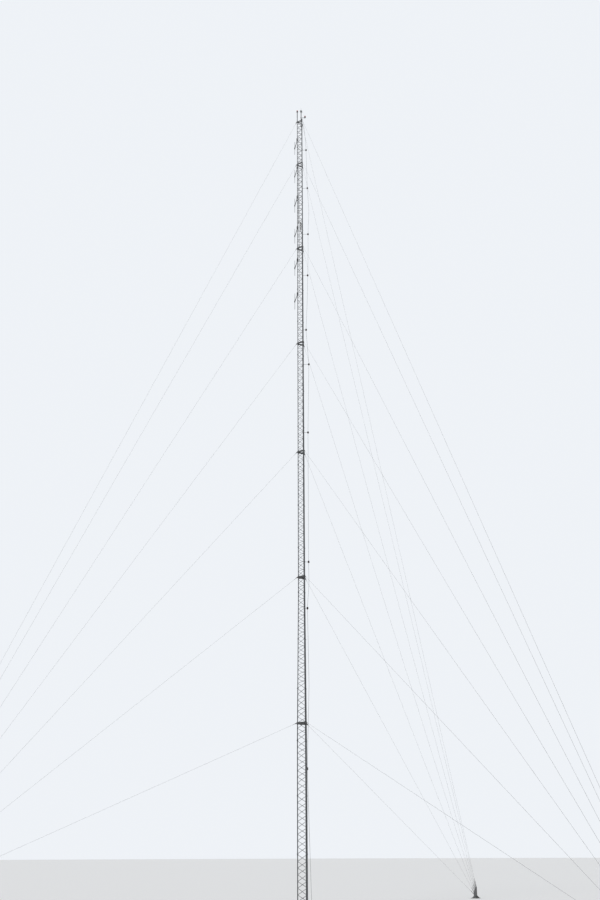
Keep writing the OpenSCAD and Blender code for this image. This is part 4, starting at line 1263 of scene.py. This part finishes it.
piece(bm, "lamp_pole", shade_darkened_zinc, "lamp_housing", "lamp_left")
bm = bmesh.new()
bar(bm, (rod_x + pole_d / 2 + clearance + 0.0015, 0, arm_z), (right_lamp_x, 0, arm_z),
    arm_d / 2, 20, True)
r = pole_d / 2
lathe(bm, [(r + clearance, -0.008), (r + 0.0028, -0.008), (r + 0.0034, -0.007), (r + 0.0034, 0.007),
           (r + 0.0028, 0.008), (r + clearance, 0.008)], 24, move(rod_x, 0, arm_z))
ears(bm, move(rod_x - r - 0.008, 0, arm_z), ear_gap, (0.013, 0.003, 0.014), (-0.001, -0.006, 0))
piece(bm, "lamp_arm", shade_darkened_zinc, "lamp_housing", "lamp_right")

# Lamp wiring: a black rubber cable from each lamp's gland, tied along its arm and
# pole, into a cast junction box inside the rear right leg. From there one supply
# cable runs down inside that leg in steel cleats and ends in a plug over the foot.
flex_d, flex_bend = 0.005, 0.02
supply_d, supply_bend, supply_in, supply_side, supply_end = 0.006, 0.04, 0.032, -0.007, 0.3
junction_in, junction_z = 0.063, clear_z(29.8)
junction_l, junction_w, junction_t, junction_lid = 0.06, 0.04, 0.02, 0.007
gland_y, gland_out, gland_z = 0.01, 0.029 * lamp_scale, 0.012 * lamp_scale
tie_r, left_tie, right_tie, arm_tie = 0.001, 0.0191, 0.0226, 0.0078
cleat_t, cleat_h = 0.0013, 0.007


def leg_frame(z, *offset):
    """Places +X from the rear right leg's centre at height z towards the axis."""
    return move(*leg_point(2, z)) @ turn("Z", leg_azimuth[2] + pi) @ move(*offset or (0, 0, 0))


def band(bm, place, inner, wall, height):
    """A closed strap with the inner radius round the Z axis of place."""
    outline = [(inner, -height / 2), (inner + wall, -height / 2), (inner + wall, height / 2),
               (inner, height / 2)]
    lathe(bm, outline + outline[:1], 20, place)


def tie_round(bm, place, big, apart):
    """A loop of tie wire round a pole at place and a cable apart from it along +X."""
    lean = degrees(acos((big - flex_d / 2) / apart))
    loop = (arc(0, 0, big + tie_r, lean, 360 - lean, 18)
            + arc(apart, 0, flex_d / 2 + tie_r, -lean, lean, 6))
    tube(bm, [place @ Vector((x, y, 0)) for x, y in loop + loop[:1]], tie_r, 6,
         place.to_3x3() @ rise(1))


def supply_point(z):
    return leg_frame(z, supply_in, supply_side, 0).translation


def flex_end(y):
    """The last stretch of a lamp's cable, down into its gland on the junction box."""
    return [leg_frame(junction_z + up, junction_in, y, 0).translation
            for up in (0.1, junction_l / 2)]


x, z = left_x, mast_top + left_lamp_rise + gland_z
left_flex = [(x, gland_out, z), (x, gland_out + 0.018, z),
             (x + 0.004, gland_out + 0.012, z - 0.045),
             (x + 0.0096, 0.0165, z - 0.09), (x + 0.0096, 0.0165, mast_top + 0.075),
             (x + 0.03, 0.022, mast_top + 0.042),
             (-0.06, 0.03, mast_top + top_t + flex_d / 2 + 0.004),
             (-0.022, 0.031, mast_top - 0.006)] + flex_end(-gland_y)
left_ties = [z - 0.12, z - 0.27, z - 0.42, mast_top + 0.09]
x, z = right_lamp_x, arm_z - arm_d / 2 + gland_z
right_flex = [(x, gland_out, z), (x, gland_out + 0.017, z),
              (x - 0.015, gland_out + 0.012, z - 0.03),
              (x - 0.042, arm_tie, arm_z), (rod_x + 0.042, arm_tie, arm_z),
              (rod_x + 0.018, 0.017, arm_z - 0.022), (rod_x, right_tie, arm_z - 0.065),
              (rod_x, right_tie, mast_top + 0.066), (rod_x - 0.006, 0.032, mast_top + 0.042),
              (rod_x - 0.026, 0.042, mast_top + 0.004)] + flex_end(gland_y)
supply = [leg_frame(junction_z - drop, junction_in, 0, 0).translation
          for drop in (junction_l / 2, 0.06)]
supply += [supply_point(z) for z in (junction_z - 0.2, taper_z1, taper_z0, supply_end)]
bm = bmesh.new()
tube(bm, rounded(left_flex, flex_bend), flex_d / 2, 12, (1, 0, 0))
tube(bm, rounded(right_flex, flex_bend), flex_d / 2, 12, (0, 0, 1))
tube(bm, rounded(supply, supply_bend), supply_d / 2, 12)
for z in left_ties:
    tie_round(bm, move(left_x, 0, z) @ turn("Z", pi / 3), pole_d / 2, left_tie)
for z in (arm_z - 0.075, mast_top + 0.12):
    tie_round(bm, move(rod_x, 0, z) @ turn("Z", pi / 2), pole_d / 2, right_tie)
for x in (rod_x + 0.052, right_lamp_x - 0.055):
    tie_round(bm, move(x, 0, arm_z) @ to_x @ turn("Z", pi / 2), arm_d / 2, arm_tie)
lathe(bm, [(0, -0.053), (0.0068, -0.053), (0.008, -0.051), (0.008, -0.024), (0.0066, -0.022),
           (0.0066, -0.01), (0.0058, -0.008), (0.0042, 0.004), (supply_d / 2, 0.006)], 20,
      move(*supply_point(supply_end)))
piece(bm, "lamp_cables", black_jacket, "cable_jacket")

bm = bmesh.new()
supply_turn = turn("Z", atan2(supply_side, supply_in))
middles = [base_t + (index + 0.5) * section_h + 0.2 for index in range(sections)]
for z in [clear_z(z) for z in [0.44] + middles]:
    leg_r = kind_at(z).leg / 2
    at = leg_frame(z)
    run = sqrt(supply_in ** 2 + supply_side ** 2) - leg_r - supply_d / 2
    band(bm, at, leg_r + clearance, cleat_t, cleat_h)
    band(bm, move(*supply_point(z)), supply_d / 2, cleat_t, cleat_h)
    block(bm, at @ supply_turn @ move(leg_r + run / 2, 0, 0), run, 0.002, cleat_h)
    block(bm, at @ move(-leg_r - 0.0035, 0, 0), 0.005, 0.01, cleat_h)
at, leg_r = leg_frame(junction_z), Light.leg / 2
band(bm, at, leg_r + clearance, 0.002, 0.014)
back = junction_in - (junction_t + junction_lid) / 2
block(bm, at @ move((leg_r + back) / 2 + 0.001, 0, 0), back - leg_r, 0.004, 0.014)
piece(bm, "supply_cleats", collar_zinc, "bracket_steel")

bm = bmesh.new()
front = back + junction_t
stamp(bm, rounded_box(junction_l, junction_w, junction_t, 0.005, 0.0012),
      at @ move(back + junction_t / 2, 0, 0) @ to_x)
stamp(bm, rounded_box(junction_l + 0.002, junction_w + 0.002, junction_lid - 0.001, 0.006, 0.0018),
      at @ move(front + junction_lid / 2 + 0.0005, 0, 0) @ to_x)
for y, end in ((-gland_y, 0), (gland_y, 0), (0, pi)):
    lathe(bm, [(r, junction_l / 2 + z) for r, z in (
        (0.0062, -0.001), (0.0062, 0.004), (0.0048, 0.0045), (0.0044, 0.009), (flex_d / 2, 0.01))],
          6, at @ move(junction_in, y, 0) @ turn("X", end))
for y in (-0.4 * junction_w, 0.4 * junction_w):
    for z in (-0.42 * junction_l, 0.42 * junction_l):
        stamp(bm, small_bolt, at @ move(front + junction_lid - 0.0005, y, z) @ to_x.inverted())
piece(bm, "junction_box", lamp_paint, "lamp_housing")

# Base plate: a round plate with a ribbed hub, welded all round, on six foundation
# bolts. Hot-dip galvanised, with patches of rust.
base_rim = 0.06
hub_d = 0.066
rib_h, rib_t, rib_gap = 0.055, 0.008, 0.006
rib_outer = leg_radius(0) - Heavy.leg / 2 - flange_rim - rib_gap
bm = bmesh.new()
bolt_circle(bm, foot_bolt, move(0, 0, base_t), leg_radius(0) + base_rim - 0.028, pi / 6, 6)
for turned in leg_turn:
    for y in (-rib_t / 2, rib_t / 2):
        weld(bm, turned, (hub_d / 2, y, base_t), (rib_outer, y, base_t))
        x = hub_d / 2 - 0.0005
        weld(bm, turned, (x, y, base_t), (x, y, base_t / 2 + rib_h))
lathe(bm, [(hub_d / 2, base_t + weld_size), (hub_d / 2 + weld_size, base_t)], 40)
lathe(bm, [(0.01, 0), (0.013, 0.001), (0.0102, 0.003)], 24, move(*earth_stud))
piece(bm, "base_bolts", weld_steel, "base_steel")
dress(anchor_steel, "base_plate")

size = {"cad": cad_box, "visual": [list(corner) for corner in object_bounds()]}
